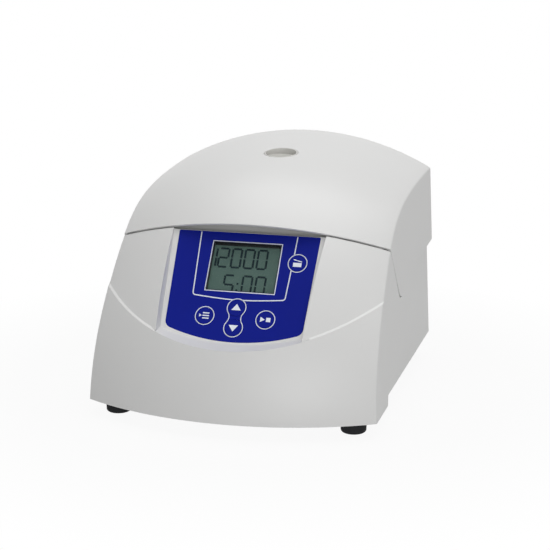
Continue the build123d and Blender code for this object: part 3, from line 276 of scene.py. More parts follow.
def foil(name, colour, rough):
    """Printed foil or ink with a satin grain."""
    recipe = Recipe(name, IOR=1.5, Specular_IOR_Level=FOIL_GLOSS)
    where = recipe.place()
    cloud = recipe.noise(where, 0.03, 2.0)
    grain = recipe.noise(where, FOIL_GRAIN, 1.0)
    recipe.feed(
        Base_Color=recipe.mix(cloud, darker(colour, 0.9), colour),
        Roughness=rough + (grain - 0.5) * 0.1,
        Normal=recipe.bump(grain, FOIL_RELIEF),
    )
    return recipe.material


finish["overlay_blue"] = foil("overlay_blue", shade(10, 27, 138), 0.42)
finish["key_blue"] = foil("key_blue", shade(10, 27, 138), 0.36)
ink = foil("light_ink", shade(242, 247, 255), 0.5)
rocker_ink = foil("white_ink", shade(225, 225, 225), 0.5)
print("foil and ink ready")

# %% [markdown]
# ## Metals
#
# The chamber is spun from stainless steel and the rotor is turned from aluminium, so both carry
# fine rings about the axis. Grooves in the mesh would take far too many faces, so the rings come
# from a noise that is read along the radius and the height alone. Zinc-plated brackets have no
# direction, only the cloudy bloom of the plating.

# %% Turned and plated metal


def turned(name, colour, rough, centre, ring=0.0005, depth=0.000012):
    """Metal with lathe rings about an upright axis."""
    recipe = Recipe(name, Metallic=1.0)
    where = recipe.place(centre)
    flat = recipe.node("ShaderNodeVectorMath", {"operation": "MULTIPLY"}, {0: where, 1: (1, 1, 0)})
    radius = recipe.node("ShaderNodeVectorMath", {"operation": "LENGTH"}, {0: flat}, 1)
    height = recipe.node("ShaderNodeSeparateXYZ", None, {0: where}, 2)
    track = recipe.node("ShaderNodeCombineXYZ", None, {0: radius, 1: height})
    rings = recipe.noise(track, ring, 3.0, 0.6)
    cloud = recipe.noise(where, 0.02, 2.0)
    recipe.feed(
        Base_Color=recipe.mix(rings * 0.6 + cloud * 0.4, darker(colour, 0.82), colour),
        Roughness=rough + (rings - 0.5) * 0.16,
        Normal=recipe.bump(rings, depth),
    )
    return recipe.material


def plated(name, colour, rough, bloom=0.006):
    """Plated or cast metal with a cloudy bloom."""
    recipe = Recipe(name, Metallic=1.0)
    where = recipe.place()
    cloud = recipe.noise(where, bloom, 4.0, 0.6)
    fine = recipe.noise(where, 0.0004, 1.0)
    recipe.feed(
        Base_Color=recipe.mix(cloud, darker(colour, 0.75), colour),
        Roughness=rough + (cloud - 0.5) * 0.2,
        Normal=recipe.bump(fine, 0.000006),
    )
    return recipe.material


finish["stainless_steel"] = turned("stainless_steel", shade(182, 183, 186), 0.36, axis)
finish["rotor_aluminium"] = turned("rotor_aluminium", shade(176, 178, 182), 0.32, axis, 0.0004)
finish["plated_steel"] = plated("plated_steel", shade(172, 173, 175), 0.42)
finish["brass_pins"] = plated("brass_pins", shade(214, 184, 110), 0.25)
print("metals ready")

# %% [markdown]
# ## Laminations and circuit boards
#
# A motor's core is a stack of sheet-steel stampings, so it is striped across its height. The
# circuit boards are green solder mask over copper tracks, with bare tinned pads. Both patterns are
# regular, so they are written as formulas on the coordinates instead of being modelled.

# %% Stack and board
LAYER, LAYER_GAP = 0.0005, 0.2
GRID = 0.00254
TRACK_HALF, TRACK_SHARE = 0.12, 0.45
PAD_REACH, PAD_SHARE = 0.035, 0.72
RELIEF = 0.00003


def laminated(name):
    """Sheet steel stacked in half-millimetre layers."""
    recipe = Recipe(name, Metallic=0.9)
    where = recipe.place()
    height = recipe.node("ShaderNodeSeparateXYZ", None, {0: where}, 2)
    gap = (height / LAYER).math("FRACT").below(LAYER_GAP)
    recipe.feed(
        Base_Color=recipe.mix(gap, shade(120, 116, 112), shade(48, 44, 42)),
        Roughness=0.4 + gap * 0.3,
        Normal=recipe.bump(1 - gap, RELIEF),
    )
    return recipe.material


def board(name):
    """Solder mask over tracks, with tinned pads on a tenth-inch grid."""
    recipe = Recipe(name, Coat_Weight=0.3, Coat_Roughness=0.2)
    where = recipe.place()
    x = recipe.node("ShaderNodeSeparateXYZ", None, {0: where}, 0)
    y = recipe.node("ShaderNodeSeparateXYZ", None, {0: where}, 1)
    across = abs((x / GRID).math("FRACT") - 0.5)
    along = abs((y / GRID).math("FRACT") - 0.5)
    choice = recipe.node("ShaderNodeTexVoronoi", None, {"Vector": where, "Scale": 160}, "Color")
    pick = recipe.node("ShaderNodeSeparateColor", None, {0: choice}, 0)
    track = across.below(TRACK_HALF) * pick.above(TRACK_SHARE)
    pad = (across * across + along * along).below(PAD_REACH) * pick.above(PAD_SHARE)
    solder_mask_and_painted_shade = recipe.mix(track, shade(16, 78, 40), shade(34, 112, 62))
    recipe.feed(
        Base_Color=recipe.mix(pad, solder_mask_and_painted_shade, shade(190, 190, 186)),
        Roughness=0.42 - pad * 0.15,
        Metallic=pad,
        Normal=recipe.bump(track + pad, RELIEF),
    )
    return recipe.material


finish["motor_core"] = laminated("motor_core")
finish["circuit_board"] = board("circuit_board")
print("core and board ready")

# %% [markdown]
# ## Clear parts and the display
#
# The sight window is thin plastic with a milky tint, and the display glass is almost invisible. Both
# could refract, but behind so thin a sheet nothing would shift, so a share of transparency does it.
# Behind the display glass is the grey-green reflector of a liquid-crystal cell, slightly grained.

# %% Clear pane, display glass and reflector


def clear(name, colour, alpha, gloss=0.5):
    """Thin clear plastic with a gloss, see-through by what alpha leaves."""
    recipe = Recipe(name, IOR=1.49, Specular_IOR_Level=gloss)
    where = recipe.place()
    smear = recipe.noise(where, 0.012, 2.0)
    recipe.feed(
        Base_Color=recipe.mix(smear, colour, darker(colour, 0.94)),
        Roughness=0.06 + smear * 0.08,
        Alpha=alpha + (smear - 0.5) * 0.04,
    )
    return recipe.material


def reflector(name):
    """The grained grey-green back of a liquid-crystal cell."""
    recipe = Recipe(name, Specular_IOR_Level=0.1)
    where = recipe.place()
    grain = recipe.noise(where, 0.0005, 2.0)
    cloud = recipe.noise(where, 0.02, 1.0)
    recipe.feed(
        Base_Color=recipe.mix(grain * 0.5 + cloud * 0.5, shade(84, 108, 102), shade(100, 124, 116)),
        Roughness=0.4 + (grain - 0.5) * 0.1,
    )
    return recipe.material


finish["clear_pane"] = clear("clear_pane", shade(222, 221, 216), 0.9)
finish["display_glass"] = clear("display_glass", shade(60, 80, 78), 0.05, 0.08)
cell = reflector("display_cell")
segment_ink = foil("segment_ink", shade(22, 40, 46), 0.5)
print("clear parts ready")

# %% [markdown]
# ## Finishes on the solids
#
# Every solid already names the slot that it takes its finish from, so one loop dresses them all.
# Solids with round or crowned faces get a cleaned copy in their place. Its loose triangles are
# merged and its flat facets joined, it is shaded smooth up to its real edges, and each edge gets
# the small radius that catches the light. A square edge would stay dark under any lamp.

# %% One finish for each solid
MERGE_WITHIN, FLAT_WITHIN = 0.000002, math.radians(0.4)
SHARP_ANGLE, ROUND_ANGLE = 24, 30
record = frame["record"]
slot_of = {part["node"]: part["material_slot"] for part in record["subparts"]}
body_of = {n: body for body, nodes in record["behaviour"]["bodies"].items() for n in nodes}
for node, solid in frame["nodes"].items():
    solid.data.materials.clear()
    solid.data.materials.append(finish[slot_of[node]])
print("solids with a finish:", len(frame["nodes"]))


def settle(piece, body):
    """Hand a finished piece over to the body that carries it."""
    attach(piece, body)
    return piece


def show(name, mesh, material):
    """A new object at the origin for a mesh in place."""
    piece = bpy.data.objects.new(name, mesh)
    mesh.materials.clear()
    mesh.materials.append(material)
    bpy.context.scene.collection.objects.link(piece)
    return piece


def smooth(mesh, angle):
    """Smooth shading up to the edges that are really sharp."""
    mesh.shade_smooth()
    mesh.set_sharp_from_angle(angle=math.radians(angle))


def dressed(node, edge):
    """A cleaned copy of a solid, with rounds of a width in metres on its edges."""
    form = bmesh.new()
    form.from_mesh(frame["nodes"][node].data)
    bmesh.ops.remove_doubles(form, verts=form.verts, dist=MERGE_WITHIN)
    bmesh.ops.dissolve_limit(form, angle_limit=FLAT_WITHIN, verts=form.verts, edges=form.edges)
    points = [v.co.copy() for v in form.verts]
    form.verts.index_update()
    faces = [[v.index for v in f.verts] for f in form.faces]
    form.free()
    mesh = bpy.data.meshes.new("dressed_" + node)
    mesh.from_pydata(points, [], faces)
    mesh.validate()
    smooth(mesh, SHARP_ANGLE)
    piece = show("dressed_" + node, mesh, finish[slot_of[node]])
    if edge:
        bevel = piece.modifiers.new("edges", "BEVEL")
        bevel.width = edge
        bevel.segments = 2
        bevel.limit_method = "ANGLE"
        bevel.angle_limit = math.radians(ROUND_ANGLE)
        bevel.harden_normals = True
    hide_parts(node)
    return settle(piece, body_of[node])


# %% [markdown]
# ## The shells
#
# The housing and the lid are the pieces that make the instrument look like itself. Each is a
# crowned block, bent across its width and down its front, with walls of 3 mm. The solids already
# have that form, so nothing is modelled again: they only get clean faces and rounded edges.

# %% The shells
shells = [dressed("housing_shell", 0.0005), dressed("lid_shell", 0.0006)]
print("shells:", [len(s.data.polygons) for s in shells])

# %% [markdown]
# ## The sloped edge of the shelf
#
# Across the front runs a shelf, low in the middle and rising to both sides. The photograph shows it
# as a bright line about two millimetres high, because the step is not square: the mould leaves a
# slope that faces the lamps. A wider round on the step's edge would be the direct way, but there is
# no room for it. So the step's two lines of points are found on the cleaned housing, and a slim
# wedge fills the corner between them on each side of the panel.

# %% Wedges along the shelf
SMILE_RADIUS, SMILE_MIDDLE, SMILE_SPREAD = 0.268, 0.3467, 0.0004
STEEP, FRONT_Y, PANEL_HALF = math.radians(60), -0.05, 0.05
WEDGE_HEIGHT, WALL_LEAN, SAME_X, TINY = 0.002, 0.72, 1e-5, 1e-9
OUTER_SINK = Vector((0, 0.0001, 0))
WALL_SINK = Vector((0, WALL_LEAN * WEDGE_HEIGHT + 0.0002, WEDGE_HEIGHT))
CORNER_SINK = Vector((0, 0.0003, -0.0003))


def on_smile(point):
    """Whether a point lies on the curve of the shelf, seen from the front."""
    return abs(math.hypot(point.x, point.z - SMILE_MIDDLE) - SMILE_RADIUS) < SMILE_SPREAD


def between(line, x):
    """The point of a line, sorted by x, at one x."""
    for first, second in zip(line, line[1:]):
        if first.x <= x <= second.x:
            share = (x - first.x) / max(second.x - first.x, TINY)
            return first.lerp(second, share)
    return line[0] if x < line[0].x else line[-1]


def step_lines(mesh):
    """The outer and inner lines of the step, each sorted by x."""
    form = bmesh.new()
    form.from_mesh(mesh)
    lines = {True: [], False: []}
    for edge in form.edges:
        ends = [v.co.copy() for v in edge.verts]
        steep = edge.calc_face_angle(0) > STEEP
        if steep and all(on_smile(point) for point in ends) and ends[0].y < FRONT_Y:
            lines[edge.is_convex] += ends
    form.free()
    return [sorted(lines[kind], key=lambda point: point.x) for kind in (True, False)]


def wedge(name, outer, inner):
    """A slim closed wedge in the corner of the step, its back sunk a little into the wall."""
    points, faces = [], []
    for corner in inner:
        tip = between(outer, corner.x) + OUTER_SINK
        points += [tip, corner + WALL_SINK, corner + CORNER_SINK]
    for i in range(0, len(points) - 3, 3):
        faces += [(i, i + 3, i + 4, i + 1), (i + 1, i + 4, i + 5, i + 2), (i + 2, i + 5, i + 3, i)]
    last = len(points) - 3
    faces += [(0, 1, 2), (last, last + 2, last + 1)]
    mesh = bpy.data.meshes.new(name)
    mesh.from_pydata(points, [], faces)
    smooth(mesh, 30)
    return settle(show(name, mesh, finish["housing_plastic"]), "base")


outer_line, inner_line = step_lines(shells[0].data)
for side, name in ((-1, "shelf_edge_left"), (1, "shelf_edge_right")):
    half = [p for p in inner_line if p.x * side > PANEL_HALF]
    corners = [p for p, after in zip(half, half[1:]) if after.x - p.x > SAME_X] + half[-1:]
    wedge(name, outer_line, corners)
    print(name, "from x", round(corners[0].x, 4), "to", round(corners[-1].x, 4))

# %% [markdown]
# ## Geometry Nodes: a plan, and lines drawn with it
#
# Print on a panel is many strokes of one width. They could be modelled one by one, or painted in a
# texture, but a texture would need an image. Here each stroke is drawn as points and edges, and one
# tree turns every chain of edges into a thin flat bar: edges to curves, a small rectangle swept
# along them, and the ends closed. The same tree draws rings, frames and the display's digits.

# %% A plan of Geometry Nodes


class Plan(Graph):
    """A Geometry Nodes tree under construction, with named sizes."""

    def __init__(self, name, **sizes):
        self.tree = bpy.data.node_groups.new(name, "GeometryNodeTree")
        face = self.tree.interface
        face.new_socket("Geometry", in_out="INPUT", socket_type="NodeSocketGeometry")
        face.new_socket("Geometry", in_out="OUTPUT", socket_type="NodeSocketGeometry")
        for label, value in sizes.items():
            kind = "NodeSocketInt" if isinstance(value, int) else "NodeSocketFloat"
            face.new_socket(label, in_out="INPUT", socket_type=kind).default_value = value
        self.enter = self.tree.nodes.new("NodeGroupInput")
        self.leave = self.tree.nodes.new("NodeGroupOutput")

    def given(self, label="Geometry"):
        """One of the plan's inputs."""
        return Wire(self, self.enter.outputs[label])

    def attribute(self, name, kind):
        """A named attribute of the geometry."""
        return self.node("GeometryNodeInputNamedAttribute", {"data_type": kind}, {"Name": name})

    def end(self, geometry, material):
        """Make every instance real, give it a material and close the tree."""
        real = self.node("GeometryNodeRealizeInstances", None, {0: geometry})
        done = self.node("GeometryNodeSetMaterial", None, {0: real, "Material": material})
        self.tree.links.new(done.socket, self.leave.inputs[0])

    def grow(self, name, seed, place, **sizes):
        """Run the tree on a mesh and give a plain piece, put in its place."""
        piece = bpy.data.objects.new(name, seed)
        bpy.context.scene.collection.objects.link(piece)
        modifier = piece.modifiers.new("plan", "NODES")
        modifier.node_group = self.tree
        for item in self.tree.interface.items_tree:
            if item.name in sizes:
                modifier[item.identifier] = sizes[item.name]
        graph = bpy.context.evaluated_depsgraph_get()
        mesh = bpy.data.meshes.new_from_object(piece.evaluated_get(graph), depsgraph=graph)
        piece.modifiers.clear()
        piece.data = mesh
        mesh.name = name
        mesh.transform(place)
        return piece


def stroke_plan(name, material):
    """Flat bars along every chain of edges."""
    plan = Plan(name, Width=1.0, Height=0.06)
    lines = plan.node("GeometryNodeMeshToCurve", None, {"Mesh": plan.given()})
    level = plan.node("GeometryNodeSetCurveNormal", {"mode": "Z_UP"}, {"Curve": lines})
    size = {"Width": plan.given("Width"), "Height": plan.given("Height")}
    section = plan.node("GeometryNodeCurvePrimitiveQuadrilateral", {"mode": "RECTANGLE"}, size)
    sockets = {"Curve": level, "Profile Curve": section, "Fill Caps": True}
    plan.end(plan.node("GeometryNodeCurveToMesh", None, sockets), material)
    return plan


light_strokes = stroke_plan("light_strokes", ink)
white_strokes = stroke_plan("white_strokes", rocker_ink)
segment_strokes = stroke_plan("segment_strokes", segment_ink)
print("plans:", [tree.name for tree in bpy.data.node_groups])

# %% Chains of points


def chains(name, *paths, depth=0.0):
    """A mesh of edges: each path is (points, closed), flat at one depth."""
    points, edges = [], []
    for path, closed in paths:
        first = len(points)
        points += [(x, y, -depth) for x, y in path]
        edges += [(i, i + 1) for i in range(first, len(points) - 1)]
        if closed:
            edges.append((len(points) - 1, first))
    mesh = bpy.data.meshes.new(name)
    mesh.from_pydata(points, edges, [])
    return mesh


def arc(x, y, radius, start, end, steps=24):
    """Points along an arc, angles in degrees."""
    turns = [math.radians(start + (end - start) * i / steps) for i in range(steps + 1)]
    return [(x + radius * math.cos(a), y + radius * math.sin(a)) for a in turns]


def circle(x, y, radius, steps=64):
    """A closed ring of points."""
    return arc(x, y, radius, 0, 360, steps)[:-1], True


def plate(name, outlines, low, high):
    """Solid flat shapes between two heights, from outlines that run anticlockwise."""
    points, faces = [], []
    for outline in outlines:
        first, count = len(points), len(outline)
        points += [(x, y, low) for x, y in outline] + [(x, y, high) for x, y in outline]
        faces.append([first + i for i in reversed(range(count))])
        faces.append([first + count + i for i in range(count)])
        for i in range(count):
            j = (i + 1) % count
            faces.append([first + i, first + j, first + count + j, first + count + i])
    mesh = bpy.data.meshes.new(name)
    mesh.from_pydata(points, [], faces)
    return mesh


print("drawing helpers ready")

# %% [markdown]
# ## The printed panel
#
# The foil carries a frame round the display, open at the top, a thin border round the window, and a
# ring round each key. The two arrow keys share one outline with a waist. It could be drawn on the
# tilted panel directly, but flat millimetres from the panel's middle are easier to check. One matrix
# then lays it on the foil, where it stands five hundredths proud, as screen ink does.

# %% Frame, window border and key rings
KEYS = {
    "key_select": (-29.6, -54.8), "key_up": (0, -44.8), "key_down": (0, -65.0),
    "key_start_stop": (29.6, -54.8), "key_lid": (51.5, 4.1),
}
RING = 9.05

frame_line = [(-47.7, 31.0), (-45.2, -31.2)] + arc(-42.2, -31.4, 3.0, 185, 264, 8)
frame_line += [(-28, -35.7), (-14, -36.7), (-4.8, -37.05)]
lid_s = KEYS["key_lid"][1]
upper_line = [(47.7, 31.0), (47.15, lid_s + 8.1)]
lower_line = [(46.45, lid_s - 7.6)] + [(-x, s) for x, s in frame_line if s < -29]
window_line = [(-34.2, -29.0), (34.2, -29.0), (34.2, 22.4), (-34.2, 22.4)]

waist, gap = 5.8, 10.1
pull = (waist**2 + gap**2 - RING**2) / (2 * (RING - waist))
swing = math.degrees(math.atan2(gap, waist + pull))
up_s, down_s = KEYS["key_up"][1], KEYS["key_down"][1]
middle_s = (up_s + down_s) / 2
arrows_line = arc(0, up_s, RING, -swing, 180 + swing, 40)
arrows_line += arc(-waist - pull, middle_s, pull, swing, -swing, 14)[1:]
arrows_line += arc(0, down_s, RING, 180 - swing, 360 + swing, 40)[1:]
arrows_line += arc(waist + pull, middle_s, pull, 180 + swing, 180 - swing, 14)[1:-1]
rings = [circle(*KEYS[key], RING) for key in ("key_select", "key_start_stop", "key_lid")]

frame_seed = chains("frame", (frame_line, False), (upper_line, False), (lower_line, False))
border_seed = chains("border", (window_line, True))
ring_seed = chains("rings", (arrows_line, True), *rings)
printed = [
    light_strokes.grow("panel_frame", frame_seed, on_panel, Width=1.1, Height=0.1),
    light_strokes.grow("window_border", border_seed, on_panel, Width=1.2, Height=0.1),
    light_strokes.grow("key_rings", ring_seed, on_panel, Width=0.8, Height=0.1),
]
for piece in printed:
    settle(piece, "base")
print("printed:", [(p.name, len(p.data.polygons)) for p in printed])

# %% [markdown]
# ## Keys and their signs
#
# The keys are round caps flush with the foil. Each carries a plain sign instead of a word: arrows
# for up and down, an opening box for the lid, a triangle with a square for start and stop, and
# three rows with a pointer for select. One mesh could hold all five signs, but each sign moves with
# its key, so each is its own piece.

# %% Key caps
keys = [dressed(key, 0) for key in KEYS]
print("keys:", [k.name for k in keys])

# %% Signs on the keys
KEY_TOP, INK_LOW, INK_HIGH = 0.4, -0.02, 0.03


def sign(key, outlines):
    """Flat printed shapes on a key, drawn about the key's middle."""
    x, s = KEYS[key]
    mesh = plate("sign_" + key, outlines, INK_LOW, INK_HIGH)
    mesh.transform(on_panel @ Matrix.Translation((x, s, KEY_TOP)))
    return settle(show("sign_" + key, mesh, ink), key)


def bar(x, y, half_x, half_y):
    """The outline of a rectangle."""
    left, right, low, high = x - half_x, x + half_x, y - half_y, y + half_y
    return [(left, low), (right, low), (right, high), (left, high)]


select_rows = [bar(1.2, y, 3.2, 0.55) for y in (-2.6, 0, 2.6)]
signs = [
    sign("key_up", [[(-4.6, -2.6), (4.6, -2.6), (0, 3.8)]]),
    sign("key_down", [[(-4.6, 2.6), (0, -3.8), (4.6, 2.6)]]),
    sign("key_lid", [bar(0, -1.7, 4.1, 2.1), [(-4.2, 3.1), (4.1, 1.1), (4.3, 1.9), (-4.0, 3.9)]]),
    sign("key_start_stop", [[(-4.9, -2.6), (-0.4, 0), (-4.9, 2.6)], bar(2.9, 0, 2.1, 2.1)]),
    sign("key_select", select_rows + [[(-5.2, -1.5), (-2.9, 0), (-5.2, 1.5)]]),
]
print("signs:", [p.name for p in signs])

# %% [markdown]
# ## The display
#
# Behind the window lies a liquid-crystal cell: a dark sleeve through the wall, a thin cover glass,
# the dark segments, and a grey-green reflector that they throw a faint shadow on. Black strips along
# the top and the left of the window are painted shade for the shadow of the deep recess. A picture of
# a display would look flat. Here each digit is seven short strokes, real geometry a little way behind
# the glass, so the digits shift against the window when the view moves.

# %% Sleeve, glass, painted shade strips and reflector
GLASS_LEVELS, PAINTED_SHADE_LEVELS, CELL_LEVELS = (-3.5, -3.05), (-3.7, -3.6), (-3.98, -3.85)


def window_ring(name, half_x, low, high, wall, front, back):
    """A rectangular sleeve between two depths behind the panel."""
    corners = [(-half_x, low), (half_x, low), (half_x, high), (-half_x, high)]
    inner = [(x - math.copysign(wall, x), y + (wall if y == low else -wall)) for x, y in corners]
    points = [(x, y, -z) for z in (front, back) for ring in (corners, inner) for x, y in ring]
    faces = []
    for i in range(4):
        j = (i + 1) % 4
        faces += [(i, j, 4 + j, 4 + i), (8 + i, 12 + i, 12 + j, 8 + j)]
        faces += [(i, 8 + i, 8 + j, j), (4 + i, 4 + j, 12 + j, 12 + i)]
    mesh = bpy.data.meshes.new(name)
    mesh.from_pydata(points, [], faces)
    mesh.transform(on_panel)
    return mesh


def layer(name, outlines, levels, material):
    """A flat layer behind the window, between two levels."""
    mesh = plate(name, outlines, *levels)
    mesh.transform(on_panel)
    return show(name, mesh, material)


black = finish["black_plastic"]
sleeve_mesh = window_ring("window_sleeve", 33.6, -28.4, 21.8, 0.5, 0.1, 2.98)
sleeve = settle(show("window_sleeve", sleeve_mesh, black), "base")
reach = bar(0, -3.3, 36.0, 27.5)
glass = layer("cover_glass", [reach], GLASS_LEVELS, finish["display_glass"])
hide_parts("lcd_glass")
settle(glass, "base")
face = settle(layer("display_cell", [reach], CELL_LEVELS, cell), "base")
# Two black strips along the top and the left of the window, between glass and cell: painted shade
# standing in for the shadow that the deep recess casts on the display.
painted_shade_strips = [bar(0, 21.8, 36, 2.4), bar(-34.5, -5.7, 1.5, 25.1)]
solder_mask_and_painted_shade = settle(layer("display_painted_shade", painted_shade_strips, PAINTED_SHADE_LEVELS, black), "base")
print("display layers:", [p.name for p in (sleeve, glass, face, solder_mask_and_painted_shade)])

# %% Digits
SEGMENTS = {
    "a": ((-1, 2), (1, 2)), "b": ((1, 2), (1, 1)), "c": ((1, 1), (1, 0)), "d": ((-1, 0), (1, 0)),
    "e": ((-1, 1), (-1, 0)), "f": ((-1, 2), (-1, 1)), "g": ((-1, 1), (1, 1)),
}
LIT = {"0": "abcdef", "1": "bc", "2": "abged", "5": "afgcd"}
DIGIT_HALF, DIGIT_STEP, TRIM = 4.5, 9.5, 0.55
FLOOR_S, DIGIT_DEPTH = -30.6, 3.75


def digit(number, x, low):
    """The lit strokes of one digit as short separate chains."""
    strokes = []
    for name in LIT[number]:
        (x1, y1), (x2, y2) = [(px * DIGIT_HALF, py * DIGIT_STEP) for px, py in SEGMENTS[name]]
        length = math.hypot(x2 - x1, y2 - y1)
        trim = TRIM / length
        ends = [(x1 + (x2 - x1) * t, y1 + (y2 - y1) * t) for t in (trim, 1 - trim)]
        placed = [(x + px, max(low + py, FLOOR_S)) for px, py in ends]
        if placed[0] != placed[1] and max(p[1] for p in placed) > FLOOR_S:
            strokes.append((placed, False))
    return strokes


def reading(text, columns, low):
    """A row of digits on their columns."""
    return [stroke for number, x in zip(text, columns) for stroke in digit(number, x, low)]


rows = reading("12000", (-34.2, -22.6, -9.8, 2.9, 15.7), -2.6)
rows += reading("500", (-13.2, 4.9, 17.9), -29.9)
rows += [([(-4.4, -20.0), (-4.4, -18.2)], False), ([(-4.4, -26.6), (-4.4, -24.8)], False)]
digit_seed = chains("digits", *rows, depth=DIGIT_DEPTH)
digits = segment_strokes.grow("display_digits", digit_seed, on_panel, Width=1.9, Height=0.08)
settle(digits, "base")
print("display strokes:", len(rows), "faces:", len(digits.data.polygons))

# %% [markdown]
# ## The rotor
#
# The rotor is the heart of the instrument and follows one rule: a profile turned about the axis,
# with twelve slanted holes at even steps. It could be spun and cut by hand, but as a tree the same
# rule holds for any profile and any number of holes. A closed outline is swept round a tiny circle,
# which makes the turning. Cylinders are placed on a ring of points, tilted outwards, and cut away.

# %% The plan of a turning with slanted holes
HOLES = 12
LEAN = math.radians(45)
turning = Plan("turning", Holes=HOLES, Ring=1.0, Rise=1.0, Bore=1.0, Length=1.0)
outline = turning.node("GeometryNodeMeshToCurve", None, {"Mesh": turning.given()})
dot = turning.node("GeometryNodeCurvePrimitiveCircle", None, {"Resolution": 120, "Radius": 0.001})
upright = turning.node("GeometryNodeSetCurveNormal", {"mode": "Z_UP"}, {"Curve": dot})
turned_sockets = {"Curve": upright, "Profile Curve": outline}
turned_body = turning.node("GeometryNodeCurveToMesh", None, turned_sockets)
spot_sockets = {"Vertices": turning.given("Holes"), "Radius": turning.given("Ring")}
spots = turning.node("GeometryNodeMeshCircle", None, spot_sockets)
angle = turning.node("GeometryNodeInputIndex") * math.tau / turning.given("Holes")
tilt = turning.node("ShaderNodeCombineXYZ", None, {"Y": -LEAN, "Z": angle})
drill_sockets = {"Vertices": 32, "Radius": turning.given("Bore"), "Depth": turning.given("Length")}
drill = turning.node("GeometryNodeMeshCylinder", None, drill_sockets)
ring_sockets = {"Points": spots, "Instance": drill, "Rotation": tilt}
drills = turning.node("GeometryNodeInstanceOnPoints", None, ring_sockets)
rise = turning.node("ShaderNodeCombineXYZ", None, {"Z": turning.given("Rise")})
raised = turning.node("GeometryNodeTransform", None, {"Geometry": drills, "Translation": rise})
real_drills = turning.node("GeometryNodeRealizeInstances", None, {0: raised})
cut_kind = {"operation": "DIFFERENCE", "solver": "EXACT"}
cut = turning.node("GeometryNodeMeshBoolean", cut_kind, {"Mesh 1": turned_body, "Mesh 2": real_drills})
turning.end(cut, finish["rotor_aluminium"])
print("turning plan:", len(turning.tree.nodes), "nodes")

# %% The rotor, from its profile in millimetres
ROTOR_LOW, ROTOR_HIGH = [corner.z * 1000 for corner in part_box("rotor_head")]
HUB, HUB_RISE, RIM_IN, RIM_OUT, EDGE = 24.0, 19.0, 54.0, 60.0, 73.0
hub_z = ROTOR_LOW + HUB_RISE
ROTOR_PROFILE = [
    (5, ROTOR_LOW + 4), (HUB, ROTOR_LOW + 4), (HUB + 4, ROTOR_LOW), (EDGE - 8, ROTOR_LOW),
    (EDGE, ROTOR_LOW + 8), (EDGE, ROTOR_HIGH - 18), (EDGE - 0.6, ROTOR_HIGH - 17.2),
    (RIM_OUT + 0.5, ROTOR_HIGH - 0.7), (RIM_OUT - 0.3, ROTOR_HIGH), (RIM_IN + 0.4, ROTOR_HIGH),
    (RIM_IN - 0.3, ROTOR_HIGH - 0.3), (HUB, hub_z), (3.5, hub_z), (3.5, hub_z - 4), (5, hub_z - 8),
]
BORE, BORE_DEPTH, SETBACK = 5.6, 30.97, 17.1
back_off = (BORE_DEPTH - 2 * BORE) / 2 * math.sin(LEAN)
rotor_seed = bpy.data.meshes.new("rotor_outline")
rotor_points = [(r, -z, 0) for r, z in reversed(ROTOR_PROFILE)]
rotor_edges = [(i, (i + 1) % len(rotor_points)) for i in range(len(rotor_points))]
rotor_seed.from_pydata(rotor_points, rotor_edges, [])
rotor = turning.grow(
    "rotor_turning", rotor_seed, on_axis, Holes=HOLES, Ring=HUB + SETBACK + back_off,
    Rise=hub_z + SETBACK - back_off, Bore=BORE, Length=BORE_DEPTH + 2 * BORE,
)
smooth(rotor.data, 24)
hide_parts("rotor_head")
settle(rotor, "rotor")
print("rotor faces:", len(rotor.data.polygons), "box:", [round(v, 4) for v in rotor.dimensions])

# %% [markdown]
# ## Place numbers on the rotor
#
# Each tube place has its number on the rim, so that the rotor can be loaded in balance. On the real
# one they are engraved and filled. Cutting them into the rim would cost many faces for a mark of
# half a millimetre wide, so each is a text made into a thin mesh that lies on the rim.

# %% Numbers round the rim
NUMBER_SIZE, NUMBER_THICK, NUMBER_LIFT = 5.2, 0.06, 0.01
SAME_POINT = 0.000001


def lettering(text, size, thick):
    """A plain mesh of a text, lying flat and centred."""
    words = bpy.data.curves.new("text_" + text, "FONT")
    words.body = text
    words.size = size
    words.extrude = thick / 2
    words.resolution_u = 3
    words.align_x = "CENTER"
    words.align_y = "CENTER"
    holder = bpy.data.objects.new("text", words)
    bpy.context.scene.collection.objects.link(holder)
    graph = bpy.context.evaluated_depsgraph_get()
    mesh = bpy.data.meshes.new_from_object(holder.evaluated_get(graph), depsgraph=graph)
    bpy.data.objects.remove(holder)
    return mesh


def joined(name, meshes, material):
    """One mesh object from several plain meshes."""
    form = bmesh.new()
    for mesh in meshes:
        form.from_mesh(mesh)
    bmesh.ops.remove_doubles(form, verts=form.verts, dist=SAME_POINT)
    whole = bpy.data.meshes.new(name)
    form.to_mesh(whole)
    form.free()
    return show(name, whole, material)


engraved = foil("number_fill", shade(40, 42, 46), 0.5)
numbers = []
for place in range(HOLES):
    mesh = lettering(str(place + 1), NUMBER_SIZE, NUMBER_THICK)
    turn = Matrix.Rotation(math.tau * place / HOLES, 4, "Z")
    spot = Matrix.Translation(((RIM_IN + RIM_OUT) / 2, 0, ROTOR_HIGH + NUMBER_LIFT))
    mesh.transform(on_axis @ turn @ spot @ Matrix.Rotation(math.pi / 2, 4, "Z"))
    numbers.append(mesh)
rim_numbers = settle(joined("rotor_numbers", numbers, engraved), "rotor")
print("rim numbers:", len(rim_numbers.data.polygons), "faces")

# %% [markdown]
# ## Screws
#
# The rear panel, the deck and the lid's liner are held by small pan-head screws with a cross recess.
# One tree makes the head, a low cone with two crossed slots cut in it, and sets a copy on every
# point. The direction of each copy comes from an attribute, so one tree serves every face.

